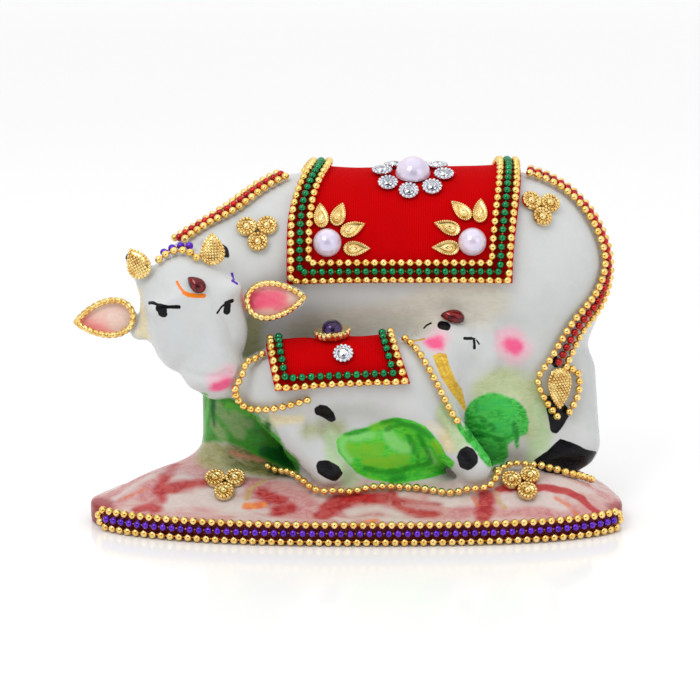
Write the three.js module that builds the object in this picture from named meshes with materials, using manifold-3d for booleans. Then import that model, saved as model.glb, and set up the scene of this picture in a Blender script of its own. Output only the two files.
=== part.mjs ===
// Kamdhenu cow suckling her calf: one cast body on its base, with everything glued onto it.
// Millimetres, +Z up, +X to the cow's tail, the decorated front towards -Y, underside at Z = 0.
import * as THREE from 'three';
import Module from 'manifold-3d';

const wasm = await Module();
wasm.setup();

// The figures keep their pose as hundredths of this height, from the underside to the cow's back.
const FIGURE_HEIGHT = 100;

// Base: an oval plinth with an upright rim and ground that swells up from it.
const BASE_LENGTH = 153;
const BASE_MIDDLE_X = 1.8;
const BASE_FRONT_DEPTH = 26.5;
const BASE_BACK_DEPTH = 48;
const BASE_WIDEST_Y = -12;
const RIM_HEIGHT = 6.6;
const RIM_ROUNDING = 2;
const GROUND_RISE = 7.3;
const GROUND_SLOPE_WIDTH = 20;
const LEFT_END_TAPER = 0.0058;
const RIGHT_END_TAPER = 0.0022;

// Fits of what is glued on.
const GLUE_GAP = 0.55;
const CLOTH_THICKNESS = 1.1;
const TRIM_GAP = 0.35;

// Beads: a ball chain, drawn here as a slim rail that holds the row's width and height.
const BEAD = 2;
const ROW_GAP = 0.4;
const LONG_STEP = 5.6;
const SHORT_STEP = 4;
const ROW_PITCH = BEAD + ROW_GAP;
const SPINE_ROW_PITCH = 2.8;

// Rows round the front of the rim, from one angle to another round the base's middle.
const RIM_ROWS_FROM_DEG = 188.5;
const RIM_ROWS_TO_DEG = 351;
const RIM_ROWS_LIFT = 0.3;
const RIM_STEPS = 28;

// Cow's velvet cloth, over the back from flank to flank, cut to the cow's size.
const COW_CLOTH_LENGTH = 0.636 * FIGURE_HEIGHT;
const COW_CLOTH_DROP_DEG = 94;
const COW_CLOTH_MARGIN = 1.3;

// Calf's velvet cloth, over its back into the valley between it and the cow's flank.
const CALF_CLOTH_LENGTH = 0.373 * FIGURE_HEIGHT;
const CALF_CLOTH_FRONT_DEG = 96;
const CALF_CLOTH_BACK_DEG = 9;
const CALF_CLOTH_MARGIN = 1.3;
const CALF_ROWS_BACK_DEG = -12;

// Stones, pearls and pads.
const TOP_PEARL = 10;
const SIDE_PEARL = 8;
const PEARL_HEIGHT_SHARE = 0.5;
const SILVER_STONE = 6;
const SILVER_STONE_HEIGHT = 1.6;
const SILVER_STONES = 8;
const STONE_RING_GAP = 0.95;
const STONE_RING_TURN_DEG = -9;
const BOW_INSET = 11.4;
const PEARL_GAP = 0.6;
const GOLD_DROP_LENGTH = 8;
const GOLD_DROP_WIDTH = 4.8;
const GOLD_DROP_HEIGHT = 1.5;
const FOREHEAD_STONE_LENGTH = 6;
const FOREHEAD_STONE_WIDTH = 4.6;
const CALF_FOREHEAD_STONE_LENGTH = 7;
const CALF_FOREHEAD_STONE_WIDTH = 5;
const FOREHEAD_STONE_HEIGHT = 2;
const CALF_TOP_STONE = 6;
const CALF_TOP_RIM = 10.4;
const CALF_TOP_RIM_HEIGHT = 2.2;
const CALF_TOP_STONE_HEIGHT = 2.4;
const HORN_PAD_LENGTH = 9.4;
const HORN_PAD_WIDTH = 7.6;
const TAIL_PAD_LENGTH = 13;
const TAIL_PAD_WIDTH = 8.4;
const PAD_HEIGHT = 1.8;
const PAD_LOOP_GAP = 0.6;
const EAR_RING_LENGTH = 18;
const EAR_RING_WIDTH = 12.2;
const EAR_RING_THICKNESS = 1.6;
const EAR_RING_GAP = 0.5;
const TREFOIL_STUD = 6;
const TREFOIL_SPREAD = 3.3;
const TREFOIL_HEIGHT = 1.6;
const BESIDE_CLOTH_GAP = 2;

// How finely the cast body is faceted, and the room round it that is searched for its skin.
const BODY_CELL = 2.2;
const BODY_TRIANGLES = 5200;
const SKIN_ROOM = 4;

const share = (x, y, z) => new THREE.Vector3(x, y, z).multiplyScalar(FIGURE_HEIGHT / 100);
const length = (part) => part * FIGURE_HEIGHT / 100;

// A frame of three unit vectors: across, outwards from the face, and along.
function frameFrom(across, along) {
  const side = across.clone().normalize();
  const down = along.clone().addScaledVector(side, -along.dot(side)).normalize();
  const out = new THREE.Vector3().crossVectors(down, side);
  return [side, out, down];
}

const HEAD_CENTRE = share(-43.5, -21.5, 63);
const HEAD_ACROSS = new THREE.Vector3(0.93, 0.3, 0.2);
const HEAD_DOWN = new THREE.Vector3(0.31, -0.22, -0.92);
const HEAD_FRAME = frameFrom(HEAD_ACROSS, HEAD_DOWN);

// A place on the cow's head: across to its left, out from its face, down to its muzzle.
function onHead(across, out, down) {
  return HEAD_CENTRE.clone()
    .addScaledVector(HEAD_FRAME[0], length(across))
    .addScaledVector(HEAD_FRAME[1], length(out))
    .addScaledVector(HEAD_FRAME[2], length(down));
}

// An ellipsoid, blended into what is there already over the length given last.
function ball(centre, half, blend, frame = null) {
  return { centre, half: half.map(length), blend: length(blend), frame };
}

// A rounded limb whose radius runs from one value to the other. Along Y it has a share, flat, of it.
function limb(from, to, radiusFrom, radiusTo, blend, flat = 1) {
  const radii = { radiusFrom: length(radiusFrom), radiusTo: length(radiusTo) };
  return { from, to, ...radii, blend: length(blend), flat };
}

const cowBody = [
  limb(share(-5, 10, 70.5), share(43, 10, 71.5), 26.4, 26.2, 6, 0.86),
  ball(share(48.5, 10, 67.5), [26.5, 21.5, 28], 5),
  ball(share(-14, 9, 74), [25, 19, 20.5], 5),
  limb(share(-12, 8, 75), share(-40, -8, 68), 19, 13, 8),
  limb(share(-18, 8, 84), share(-46, -12, 73), 10, 7, 6),
];

// The space between the legs is cast solid; the legs stand out from it.
const cowLegs = [
  ball(share(14, 9, 40), [50, 17, 38], 8),
  limb(share(-29.5, 1, 56), share(-29.5, 2, 10), 13.5, 13.5, 9),
  limb(share(-22, 18, 60), share(-22, 22, 12), 10, 8, 7),
  limb(share(53, 5, 58), share(56, 1, 22), 16, 10, 6),
  limb(share(62.6, 3, 40), share(64.5, 0, 20), 9, 8.5, 3),
  limb(share(64, -2, 20), share(55.5, -6, 17), 7, 4.5, 3),
  limb(share(55, 18, 55), share(58, 17, 12), 11, 7.5, 7),
  ball(share(46, -6, 49), [6, 5.5, 6], 5),
  ball(share(41.5, -6, 29), [11, 8, 13], 6),
];

const cowHead = [
  ball(onHead(-0.6, 0, -3), [13.8, 11, 12], 4, HEAD_FRAME),
  ball(onHead(0, -1, -10.5), [11.5, 8, 5], 4, HEAD_FRAME),
  limb(onHead(-10, 0, -11), onHead(-13.5, 1.5, -18.5), 3.5, 1.4, 2),
  limb(onHead(9.5, 0, -11), onHead(8.5, 1.5, -17.5), 3.5, 1.4, 2),
  ...[-1, 1].flatMap((side) => [
    ball(onHead(side * 6.3, -1, 6), [7.2, 9, 10], 4, HEAD_FRAME),
    ball(onHead(side * 9, 6.4, -2.6), [4.4, 3.4, 2.4], 3, HEAD_FRAME),
    limb(onHead(side * 11, -4, 0), onHead(side * 16, -4, 1.5), 3.6, 2.2, 4),
  ]),
  limb(onHead(0, 4.5, -2), onHead(0, 4.8, 13), 6.6, 5.8, 4),
  ball(onHead(0, 1.5, 17.5), [8.2, 8, 6.2], 3, HEAD_FRAME),
  ball(onHead(1.8, -1.5, 21.6), [5.8, 6.2, 4.4], 2, HEAD_FRAME),
];

// Ears: flat leaves whose tips point outwards. Each holds its tip's direction and its face's normal.
const EARS = {
  left: {
    centre: share(-68, -22, 60.6),
    tip: new THREE.Vector3(-0.99, 0.02, -0.13),
    face: new THREE.Vector3(0, -1, 0.25),
  },
  right: {
    centre: share(-20.6, -19.7, 65.6),
    tip: new THREE.Vector3(0.99, -0.06, 0.1),
    face: new THREE.Vector3(0.1, -1, 0.2),
  },
};

function earFrame(ear) {
  const tip = ear.tip.clone().normalize();
  const face = ear.face.clone().addScaledVector(tip, -ear.face.dot(tip)).normalize();
  return [tip, face, new THREE.Vector3().crossVectors(tip, face)];
}

const cowEars = Object.values(EARS).flatMap((ear) => {
  const frame = earFrame(ear);
  return [
    ball(ear.centre.clone().addScaledVector(frame[0], length(-1)), [7.5, 1.7, 5.3], 1.5, frame),
    ball(ear.centre.clone().addScaledVector(frame[0], length(4)), [4.5, 1.4, 3], 1.5, frame),
  ];
});

const calf = [
  ball(share(1, -19, 43), [28, 10, 10.4], 3),
  ball(share(6, -16, 26), [26, 8.5, 17], 4),
  ball(share(-19, -20, 41), [13.5, 10.5, 11], 5),
  limb(share(-18, -22, 33), share(-6, -24, 18.5), 7, 5.2, 4),
  ball(share(16, -19, 42), [11, 10.5, 12], 5),
  limb(share(19, -21, 36), share(35, -23, 18.5), 7.5, 5, 4),
  limb(share(20, -15, 38), share(27, -11, 51), 10, 8, 5),
  limb(share(27, -11, 51), share(32, -11, 51.5), 7.3, 6.3, 3),
  limb(share(38, -10, 55), share(39, -10, 49), 4, 4.5, 2),
  ball(share(33, -9, 41), [9, 7, 12], 5),
];

const castForms = [...cowBody, ...cowLegs, ...cowHead, ...cowEars, ...calf];

// Signed distances, negative inside.
function formDistance(form, x, y, z) {
  if (form.half) {
    let qx = x - form.centre.x;
    let qy = y - form.centre.y;
    let qz = z - form.centre.z;
    if (form.frame) {
      const [a, b, c] = form.frame;
      [qx, qy, qz] = [
        qx * a.x + qy * a.y + qz * a.z,
        qx * b.x + qy * b.y + qz * b.z,
        qx * c.x + qy * c.y + qz * c.z,
      ];
    }
    const [hx, hy, hz] = form.half;
    const near = Math.hypot(qx / hx, qy / hy, qz / hz);
    const slope = Math.hypot(qx / (hx * hx), qy / (hy * hy), qz / (hz * hz));
    return near * (near - 1) / Math.max(slope, 1e-9);
  }
  const { from, to } = form;
  const ax = to.x - from.x;
  const ay = to.y - from.y;
  const az = to.z - from.z;
  const px = x - from.x;
  const py = y - from.y;
  const pz = z - from.z;
  const along = (px * ax + py * ay + pz * az) / (ax * ax + ay * ay + az * az);
  const t = Math.min(Math.max(along, 0), 1);
  const radius = form.radiusFrom + (form.radiusTo - form.radiusFrom) * t;
  const across = Math.hypot(px - t * ax, (py - t * ay) / form.flat, pz - t * az);
  return (across - radius) * Math.sqrt(form.flat);
}

function blendMin(a, b, width) {
  const h = Math.max(width - Math.abs(a - b), 0) / width;
  return Math.min(a, b) - h * h * width / 4;
}

const blendMax = (a, b, width) => -blendMin(-a, -b, width);

// The plinth's outline is a rounded oval, each quarter with its own fullness, tapered behind.
const OUTLINE_POWER = { backLeft: 2.5, backRight: 3.4, frontLeft: 2.2, frontRight: 2.7 };

function outlineHalfLength(x, y) {
  const taper = x < BASE_MIDDLE_X ? LEFT_END_TAPER : RIGHT_END_TAPER;
  return BASE_LENGTH / 2 * (1 - taper * Math.max(y - BASE_WIDEST_Y, 0));
}

function outlineDistance(x, y) {
  const back = y > BASE_WIDEST_Y;
  const side = x < BASE_MIDDLE_X ? 'Left' : 'Right';
  const power = OUTLINE_POWER[`${back ? 'back' : 'front'}${side}`];
  const depth = back ? BASE_BACK_DEPTH : BASE_FRONT_DEPTH;
  const half = outlineHalfLength(x, y);
  const u = Math.abs(x - BASE_MIDDLE_X) / half + 1e-6;
  const v = Math.abs(y - BASE_WIDEST_Y) / depth + 1e-6;
  const reach = (u ** power + v ** power) ** (1 / power);
  const slopeX = reach ** (1 - power) * u ** (power - 1) / half;
  const slopeY = reach ** (1 - power) * v ** (power - 1) / depth;
  return (reach - 1) / Math.hypot(slopeX, slopeY);
}

function groundDistance(x, y, z) {
  const edge = outlineDistance(x, y);
  const t = Math.min(Math.max(-edge / GROUND_SLOPE_WIDTH, 0), 1);
  const top = RIM_HEIGHT + GROUND_RISE * t * t * (3 - 2 * t);
  return blendMax(edge, z - top, RIM_ROUNDING);
}

function castDistance(p, forms = castForms) {
  let d = groundDistance(p.x, p.y, p.z);
  for (const form of forms) d = blendMin(d, formDistance(form, p.x, p.y, p.z), form.blend);
  return d;
}

function outwards(p) {
  const step = 0.05;
  const slope = new THREE.Vector3();
  for (const axis of ['x', 'y', 'z']) {
    const a = p.clone();
    const b = p.clone();
    a[axis] += step;
    b[axis] -= step;
    slope[axis] = (castDistance(a) - castDistance(b)) / (2 * step);
  }
  return slope;
}

// Moves a point straight out or in until it is at the given height above the cast surface.
function settle(point, height) {
  const p = point.clone();
  for (let turn = 0; turn < 8; turn += 1) {
    const slope = outwards(p);
    p.addScaledVector(slope, (height - castDistance(p)) / Math.max(slope.lengthSq(), 0.2));
  }
  return p;
}

const normalAt = (p) => outwards(p).normalize();

// The cast body's distance on a grid: each form is only worked out near itself.
function sampleCast(low, count, cell) {
  const [nx, ny, nz] = count;
  const values = new Float32Array(nx * ny * nz);
  const at = (i, j, k) => (i * ny + j) * nz + k;
  for (let i = 0; i < nx; i += 1) {
    for (let j = 0; j < ny; j += 1) {
      for (let k = 0; k < nz; k += 1) {
        values[at(i, j, k)] = groundDistance(low.x + i * cell, low.y + j * cell, low.z + k * cell);
      }
    }
  }
  const first = (value, start) => Math.max(Math.floor((value - start) / cell), 0);
  const last = (value, start, most) => Math.min(Math.ceil((value - start) / cell), most - 1);
  for (const form of castForms) {
    const box = formBox(form).expandByScalar(form.blend + cell);
    for (let i = first(box.min.x, low.x); i <= last(box.max.x, low.x, nx); i += 1) {
      for (let j = first(box.min.y, low.y); j <= last(box.max.y, low.y, ny); j += 1) {
        for (let k = first(box.min.z, low.z); k <= last(box.max.z, low.z, nz); k += 1) {
          const d = formDistance(form, low.x + i * cell, low.y + j * cell, low.z + k * cell);
          values[at(i, j, k)] = blendMin(values[at(i, j, k)], d, form.blend);
        }
      }
    }
  }
  return { values, at };
}

// Each grid cube is split into six tetrahedra round its long diagonal, so the skin always closes.
const CUBE_TETRAHEDRA = [[1, 3], [1, 5], [2, 3], [2, 6], [4, 5], [4, 6]].map(([a, b]) => [0, a, b, 7]);

function formBox(form) {
  const reach = form.half ? Math.max(...form.half) : Math.max(form.radiusFrom, form.radiusTo);
  const points = form.half ? [form.centre] : [form.from, form.to];
  return new THREE.Box3().setFromPoints(points).expandByScalar(reach);
}

function skinOfCast() {
  const room = new THREE.Box3(
    new THREE.Vector3(BASE_MIDDLE_X - BASE_LENGTH / 2, BASE_WIDEST_Y - BASE_FRONT_DEPTH, 0),
    new THREE.Vector3(BASE_MIDDLE_X + BASE_LENGTH / 2, BASE_WIDEST_Y + BASE_BACK_DEPTH, RIM_HEIGHT),
  );
  for (const form of castForms) room.union(formBox(form));
  room.expandByScalar(SKIN_ROOM);
  const low = room.min.clone().setZ(-BODY_CELL);
  const high = room.max;
  const cell = BODY_CELL;
  const count = ['x', 'y', 'z'].map((axis) => Math.ceil((high[axis] - low[axis]) / cell) + 1);
  const { values, at } = sampleCast(low, count, cell);
  const [nx, ny, nz] = count;
  // The lowest layer stays open to the outside, below the underside that is cut off later.
  for (let i = 0; i < nx; i += 1) {
    for (let j = 0; j < ny; j += 1) values[at(i, j, 0)] = 1;
  }
  const positions = [];
  const triangles = [];
  const known = new Map();
  const corner = new Int32Array(8);
  const place = (node) => {
    const k = node % nz;
    const j = Math.floor(node / nz) % ny;
    return [low.x + Math.floor(node / (nz * ny)) * cell, low.y + j * cell, low.z + k * cell];
  };
  const crossing = (a, b) => {
    const key = Math.min(a, b) * values.length + Math.max(a, b);
    if (!known.has(key)) {
      const t = THREE.MathUtils.clamp(values[a] / (values[a] - values[b]), 0.02, 0.98);
      const p = place(a);
      const q = place(b);
      known.set(key, positions.length / 3);
      positions.push(...p.map((value, axis) => value + (q[axis] - value) * t));
    }
    return known.get(key);
  };
  for (let i = 0; i < nx - 1; i += 1) {
    for (let j = 0; j < ny - 1; j += 1) {
      for (let k = 0; k < nz - 1; k += 1) {
        let inside = 0;
        for (let c = 0; c < 8; c += 1) {
          corner[c] = at(i + (c & 1), j + ((c >> 1) & 1), k + (c >> 2));
          if (values[corner[c]] < 0) inside += 1;
        }
        if (inside === 0 || inside === 8) continue;
        for (const tetrahedron of CUBE_TETRAHEDRA) {
          const nodes = tetrahedron.map((c) => corner[c]);
          const within = nodes.filter((node) => values[node] < 0);
          const without = nodes.filter((node) => values[node] >= 0);
          if (within.length === 0 || without.length === 0) continue;
          addCut(within, without, crossing, triangles, positions, place);
        }
      }
    }
  }
  return { positions, triangles };
}

// One tetrahedron's piece of skin, turned so that it faces away from its inside corners.
function addCut(within, without, crossing, triangles, positions, place) {
  let loop;
  if (within.length === 2) {
    const [a, b] = within;
    const [c, d] = without;
    loop = [crossing(a, c), crossing(a, d), crossing(b, d), crossing(b, c)];
  } else {
    const lone = within.length === 1 ? within[0] : without[0];
    const others = within.length === 1 ? without : within;
    loop = others.map((other) => crossing(lone, other));
  }
  const point = (v) => new THREE.Vector3(positions[3 * v], positions[3 * v + 1], positions[3 * v + 2]);
  const [p, q, r] = loop.slice(0, 3).map(point);
  const facing = new THREE.Vector3().crossVectors(q.clone().sub(p), r.clone().sub(p));
  const middleOf = (nodes) => {
    const sum = new THREE.Vector3();
    for (const node of nodes) sum.add(new THREE.Vector3(...place(node)));
    return sum.divideScalar(nodes.length);
  };
  if (facing.dot(middleOf(without).sub(middleOf(within))) < 0) loop.reverse();
  triangles.push(loop[0], loop[1], loop[2]);
  if (loop.length === 4) triangles.push(loop[0], loop[2], loop[3]);
}

// Folds short edges away, cheapest first, until the skin has the number of triangles wanted.
function simplify({ positions, triangles }, wanted) {
  const vertexCount = positions.length / 3;
  const quadric = new Float64Array(vertexCount * 10);
  const around = Array.from({ length: vertexCount }, () => new Set());
  const version = new Int32Array(vertexCount);
  const gone = new Uint8Array(vertexCount);
  const faceGone = new Uint8Array(triangles.length / 3);
  let faces = triangles.length / 3;
  const normal = [0, 0, 0];

  const faceNormal = (a, b, c) => {
    const ux = positions[3 * b] - positions[3 * a];
    const uy = positions[3 * b + 1] - positions[3 * a + 1];
    const uz = positions[3 * b + 2] - positions[3 * a + 2];
    const vx = positions[3 * c] - positions[3 * a];
    const vy = positions[3 * c + 1] - positions[3 * a + 1];
    const vz = positions[3 * c + 2] - positions[3 * a + 2];
    normal[0] = uy * vz - uz * vy;
    normal[1] = uz * vx - ux * vz;
    normal[2] = ux * vy - uy * vx;
    return Math.hypot(normal[0], normal[1], normal[2]);
  };

  for (let f = 0; f < faces; f += 1) {
    const [a, b, c] = triangles.slice(3 * f, 3 * f + 3);
    const size = faceNormal(a, b, c);
    for (const v of [a, b, c]) around[v].add(f);
    if (size < 1e-12) continue;
    const [nx, ny, nz] = normal.map((value) => value / size);
    const offset = -(nx * positions[3 * a] + ny * positions[3 * a + 1] + nz * positions[3 * a + 2]);
    const plane = [nx, ny, nz, offset];
    const terms = plane.flatMap((value, i) => plane.slice(i).map((other) => value * other));
    for (const v of [a, b, c]) {
      for (let i = 0; i < 10; i += 1) quadric[10 * v + i] += terms[i] * size / 2;
    }
  }

  const errorAt = (q, x, y, z) => q[0] * x * x + 2 * q[1] * x * y + 2 * q[2] * x * z + 2 * q[3] * x
    + q[4] * y * y + 2 * q[5] * y * z + 2 * q[6] * y + q[7] * z * z + 2 * q[8] * z + q[9];

  const sum = new Float64Array(10);
  const best = [0, 0, 0];
  const costOf = (a, b) => {
    for (let i = 0; i < 10; i += 1) sum[i] = quadric[10 * a + i] + quadric[10 * b + i];
    const [xx, xy, xz, xw, yy, yz, yw, zz, zw] = sum;
    const det = xx * (yy * zz - yz * yz) - xy * (xy * zz - yz * xz) + xz * (xy * yz - yy * xz);
    const ends = [0, 1, 2].map((i) => [positions[3 * a + i], positions[3 * b + i]]);
    const middle = ends.map(([p, q]) => (p + q) / 2);
    const span = Math.hypot(...ends.map(([p, q]) => p - q));
    let spots = [middle, ends.map(([p]) => p), ends.map(([, q]) => q)];
    if (Math.abs(det) > 1e-6) {
      const solved = [
        -(xw * (yy * zz - yz * yz) - yw * (xy * zz - xz * yz) + zw * (xy * yz - xz * yy)) / det,
        (xw * (xy * zz - yz * xz) - yw * (xx * zz - xz * xz) + zw * (xx * yz - xz * xy)) / det,
        -(xw * (xy * yz - yy * xz) - yw * (xx * yz - xy * xz) + zw * (xx * yy - xy * xy)) / det,
      ];
      if (Math.hypot(...solved.map((value, i) => value - middle[i])) < 1.5 * span) spots = [solved];
    }
    let least = Infinity;
    for (const spot of spots) {
      const error = errorAt(sum, ...spot);
      if (error < least) {
        least = error;
        [best[0], best[1], best[2]] = spot;
      }
    }
    return Math.max(least, 0) + 1e-4 * span * span;
  };

  const queue = makeQueue();
  const neighbours = (v) => {
    const found = new Set();
    for (const f of around[v]) {
      for (let i = 0; i < 3; i += 1) found.add(triangles[3 * f + i]);
    }
    found.delete(v);
    return found;
  };
  const offer = (a, b) => queue.push(costOf(a, b), a, b, version[a] + version[b]);
  for (let v = 0; v < vertexCount; v += 1) {
    for (const w of neighbours(v)) {
      if (v < w) offer(v, w);
    }
  }

  const turnsOver = (v, other) => {
    for (const f of around[v]) {
      const corners = [0, 1, 2].map((i) => triangles[3 * f + i]);
      if (corners.includes(other)) continue;
      const before = faceNormal(...corners);
      const old = [...normal];
      const kept = [positions[3 * v], positions[3 * v + 1], positions[3 * v + 2]];
      for (let i = 0; i < 3; i += 1) positions[3 * v + i] = best[i];
      const after = faceNormal(...corners);
      const agree = old[0] * normal[0] + old[1] * normal[1] + old[2] * normal[2];
      for (let i = 0; i < 3; i += 1) positions[3 * v + i] = kept[i];
      if (after < 1e-9 || agree < 0.25 * before * after) return true;
    }
    return false;
  };

  while (faces > wanted) {
    const edge = queue.pop();
    if (!edge) break;
    const [, a, b, stamp] = edge;
    if (gone[a] || gone[b] || version[a] + version[b] !== stamp) continue;
    const near = neighbours(a);
    if (!near.has(b)) continue;
    const shared = [...neighbours(b)].filter((v) => near.has(v));
    if (shared.length !== 2) continue;
    costOf(a, b);
    if (turnsOver(a, b) || turnsOver(b, a)) continue;
    for (let i = 0; i < 3; i += 1) positions[3 * a + i] = best[i];
    for (let i = 0; i < 10; i += 1) quadric[10 * a + i] += quadric[10 * b + i];
    for (const f of around[b]) {
      const corners = [0, 1, 2].map((i) => triangles[3 * f + i]);
      if (corners.includes(a)) {
        for (const v of corners) if (v !== b) around[v].delete(f);
        faceGone[f] = 1;
        faces -= 1;
      } else {
        triangles[3 * f + corners.indexOf(b)] = a;
        around[a].add(f);
      }
    }
    around[b].clear();
    gone[b] = 1;
    version[a] += 1;
    for (const v of neighbours(a)) offer(a, v);
  }

  const kept = [];
  for (let f = 0; f < faceGone.length; f += 1) {
    if (!faceGone[f]) kept.push(triangles[3 * f], triangles[3 * f + 1], triangles[3 * f + 2]);
  }
  return compact(positions, kept);
}

// A queue of edges, cheapest first.
function makeQueue() {
  const heap = [];
  const swap = (i, j) => {
    [heap[i], heap[j]] = [heap[j], heap[i]];
  };
  return {
    push(cost, a, b, stamp) {
      heap.push([cost, a, b, stamp]);
      let i = heap.length - 1;
      while (i > 0 && heap[(i - 1) >> 1][0] > heap[i][0]) {
        swap(i, (i - 1) >> 1);
        i = (i - 1) >> 1;
      }
    },
    pop() {
      if (heap.length === 0) return null;
      swap(0, heap.length - 1);
      const top = heap.pop();
      let i = 0;
      while (2 * i + 1 < heap.length) {
        let least = 2 * i + 1;
        if (least + 1 < heap.length && heap[least + 1][0] < heap[least][0]) least += 1;
        if (heap[i][0] <= heap[least][0]) break;
        swap(i, least);
        i = least;
      }
      return top;
    },
  };
}

// Leaves out the vertices that no triangle uses.
function compact(positions, triangles) {
  const renamed = new Map();
  const kept = [];
  const indices = triangles.map((v) => {
    if (!renamed.has(v)) {
      renamed.set(v, renamed.size);
      kept.push(positions[3 * v], positions[3 * v + 1], positions[3 * v + 2]);
    }
    return renamed.get(v);
  });
  return { positions: kept, triangles: indices };
}

// A closed geometry from points and triangles, turned to face out.
function closedGeometry(points, triangles) {
  let volume = 0;
  for (let i = 0; i < triangles.length; i += 3) {
    const [a, b, c] = [points[triangles[i]], points[triangles[i + 1]], points[triangles[i + 2]]];
    volume += a.dot(new THREE.Vector3().crossVectors(b, c));
  }
  const facingOut = volume < 0 ? triangles.toReversed() : triangles;
  const geometry = new THREE.BufferGeometry();
  geometry.setAttribute('position', new THREE.Float32BufferAttribute(points.flatMap((p) => p.toArray()), 3));
  geometry.setIndex(facingOut);
  return geometry;
}

// Every triangle's corners, in order, and the closed geometry that such corners make.
function cornersOf(geometry) {
  const { position } = (geometry.index ? geometry.toNonIndexed() : geometry).attributes;
  const corner = (_, i) => new THREE.Vector3().fromBufferAttribute(position, i);
  return Array.from({ length: position.count }, corner);
}

function welded(corners) {
  const names = new Map();
  const points = [];
  const named = corners.map((p) => {
    const key = p.toArray().map((value) => Math.round(value * 1e4)).join();
    if (!names.has(key)) {
      names.set(key, points.length);
      points.push(p);
    }
    return names.get(key);
  });
  const triangles = [];
  for (let i = 0; i < named.length; i += 3) {
    const three = named.slice(i, i + 3);
    if (new Set(three).size === 3) triangles.push(...three);
  }
  return closedGeometry(points, triangles);
}

const toSolid = (geometry) => new wasm.Manifold(new wasm.Mesh({
  numProp: 3,
  vertProperties: new Float32Array(geometry.attributes.position.array),
  triVerts: new Uint32Array(geometry.index.array),
}));

function toGeometry(solid) {
  const mesh = solid.getMesh();
  const geometry = new THREE.BufferGeometry();
  geometry.setAttribute('position', new THREE.BufferAttribute(mesh.vertProperties, 3));
  geometry.setIndex(new THREE.BufferAttribute(mesh.triVerts, 1));
  return geometry;
}

// The cast body, with its underside cut flat at Z = 0.
function castGeometry() {
  const { positions, triangles } = simplify(skinOfCast(), BODY_TRIANGLES);
  const points = [];
  for (let i = 0; i < positions.length; i += 3) {
    points.push(new THREE.Vector3(...positions.slice(i, i + 3)));
  }
  const depth = 4 * BODY_CELL;
  const below = new THREE.BoxGeometry(3 * BASE_LENGTH, 3 * BASE_LENGTH, depth).translate(0, 0, -depth / 2);
  return toGeometry(toSolid(closedGeometry(points, triangles)).subtract(toSolid(welded(cornersOf(below)))));
}

// Draping: a point of a cloth is found by going out from the animal's long axis at an angle.
const COW_CLOTH_STEP = 9.2;
const CALF_CLOTH_STEP = 6;
const COW_AXIS = { y: length(10), z: length(71) };
const CALF_AXIS = { y: length(-19), z: length(43.5) };

const cowCloth = {
  under: [...cowBody, ...cowLegs],
  axis: COW_AXIS,
  length: COW_CLOTH_LENGTH,
  start: length(-17.8),
  startLean: { by: length(6), power: 6 },
  endLean: { by: length(3.4), power: 2 },
  frontDeg: COW_CLOTH_DROP_DEG,
  backDeg: COW_CLOTH_DROP_DEG,
  rowsBackDeg: COW_CLOTH_DROP_DEG,
  rise: 0,
  across: Math.ceil(COW_CLOTH_LENGTH / COW_CLOTH_STEP),
  around: 18,
};

const calfCloth = {
  under: [...cowBody, ...cowLegs, ...calf],
  axis: CALF_AXIS,
  length: CALF_CLOTH_LENGTH,
  start: length(-21),
  startLean: { by: length(-2.6), power: 1 },
  endLean: { by: length(-3.8), power: 1 },
  frontDeg: CALF_CLOTH_FRONT_DEG,
  backDeg: CALF_CLOTH_BACK_DEG,
  rowsBackDeg: CALF_ROWS_BACK_DEG,
  rise: 0.05,
  across: Math.ceil(CALF_CLOTH_LENGTH / CALF_CLOTH_STEP),
  around: 8,
};

// No step of the search outwards is longer than this, so that it stops at the first skin it meets.
const LONGEST_REACH = 2;

// along runs 0..1 from the first end to the other, turn 0..1 from the front hem over the back.
function clothPoint(cloth, along, turn, height) {
  const wholeTurn = cloth.frontDeg + cloth.backDeg;
  const angle = THREE.MathUtils.degToRad(90 + cloth.frontDeg - turn * wholeTurn);
  const upness = Math.sin(angle);
  const lean = (edge) => Math.sign(upness) * edge.by * Math.abs(upness) ** edge.power;
  const start = cloth.start + lean(cloth.startLean);
  const end = cloth.start + cloth.length + lean(cloth.endLean);
  const x = start + (end - start) * along;
  const axisZ = cloth.axis.z + cloth.rise * (x - cloth.start);
  const p = new THREE.Vector3(x, cloth.axis.y, axisZ);
  const way = new THREE.Vector3(0, Math.cos(angle), Math.sin(angle));
  for (let step = 0; step < 30; step += 1) {
    const missing = height - castDistance(p, cloth.under);
    p.addScaledVector(way, THREE.MathUtils.clamp(missing, -LONGEST_REACH, LONGEST_REACH));
  }
  return p;
}

// A point of the cow's front flank at a height, found by going straight in from in front.
function onFlank(x, z, height) {
  const p = new THREE.Vector3(x, -FIGURE_HEIGHT / 2, z);
  for (let step = 0; step < 60; step += 1) p.y += 0.9 * (castDistance(p, cowCloth.under) - height);
  return p;
}

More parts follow.
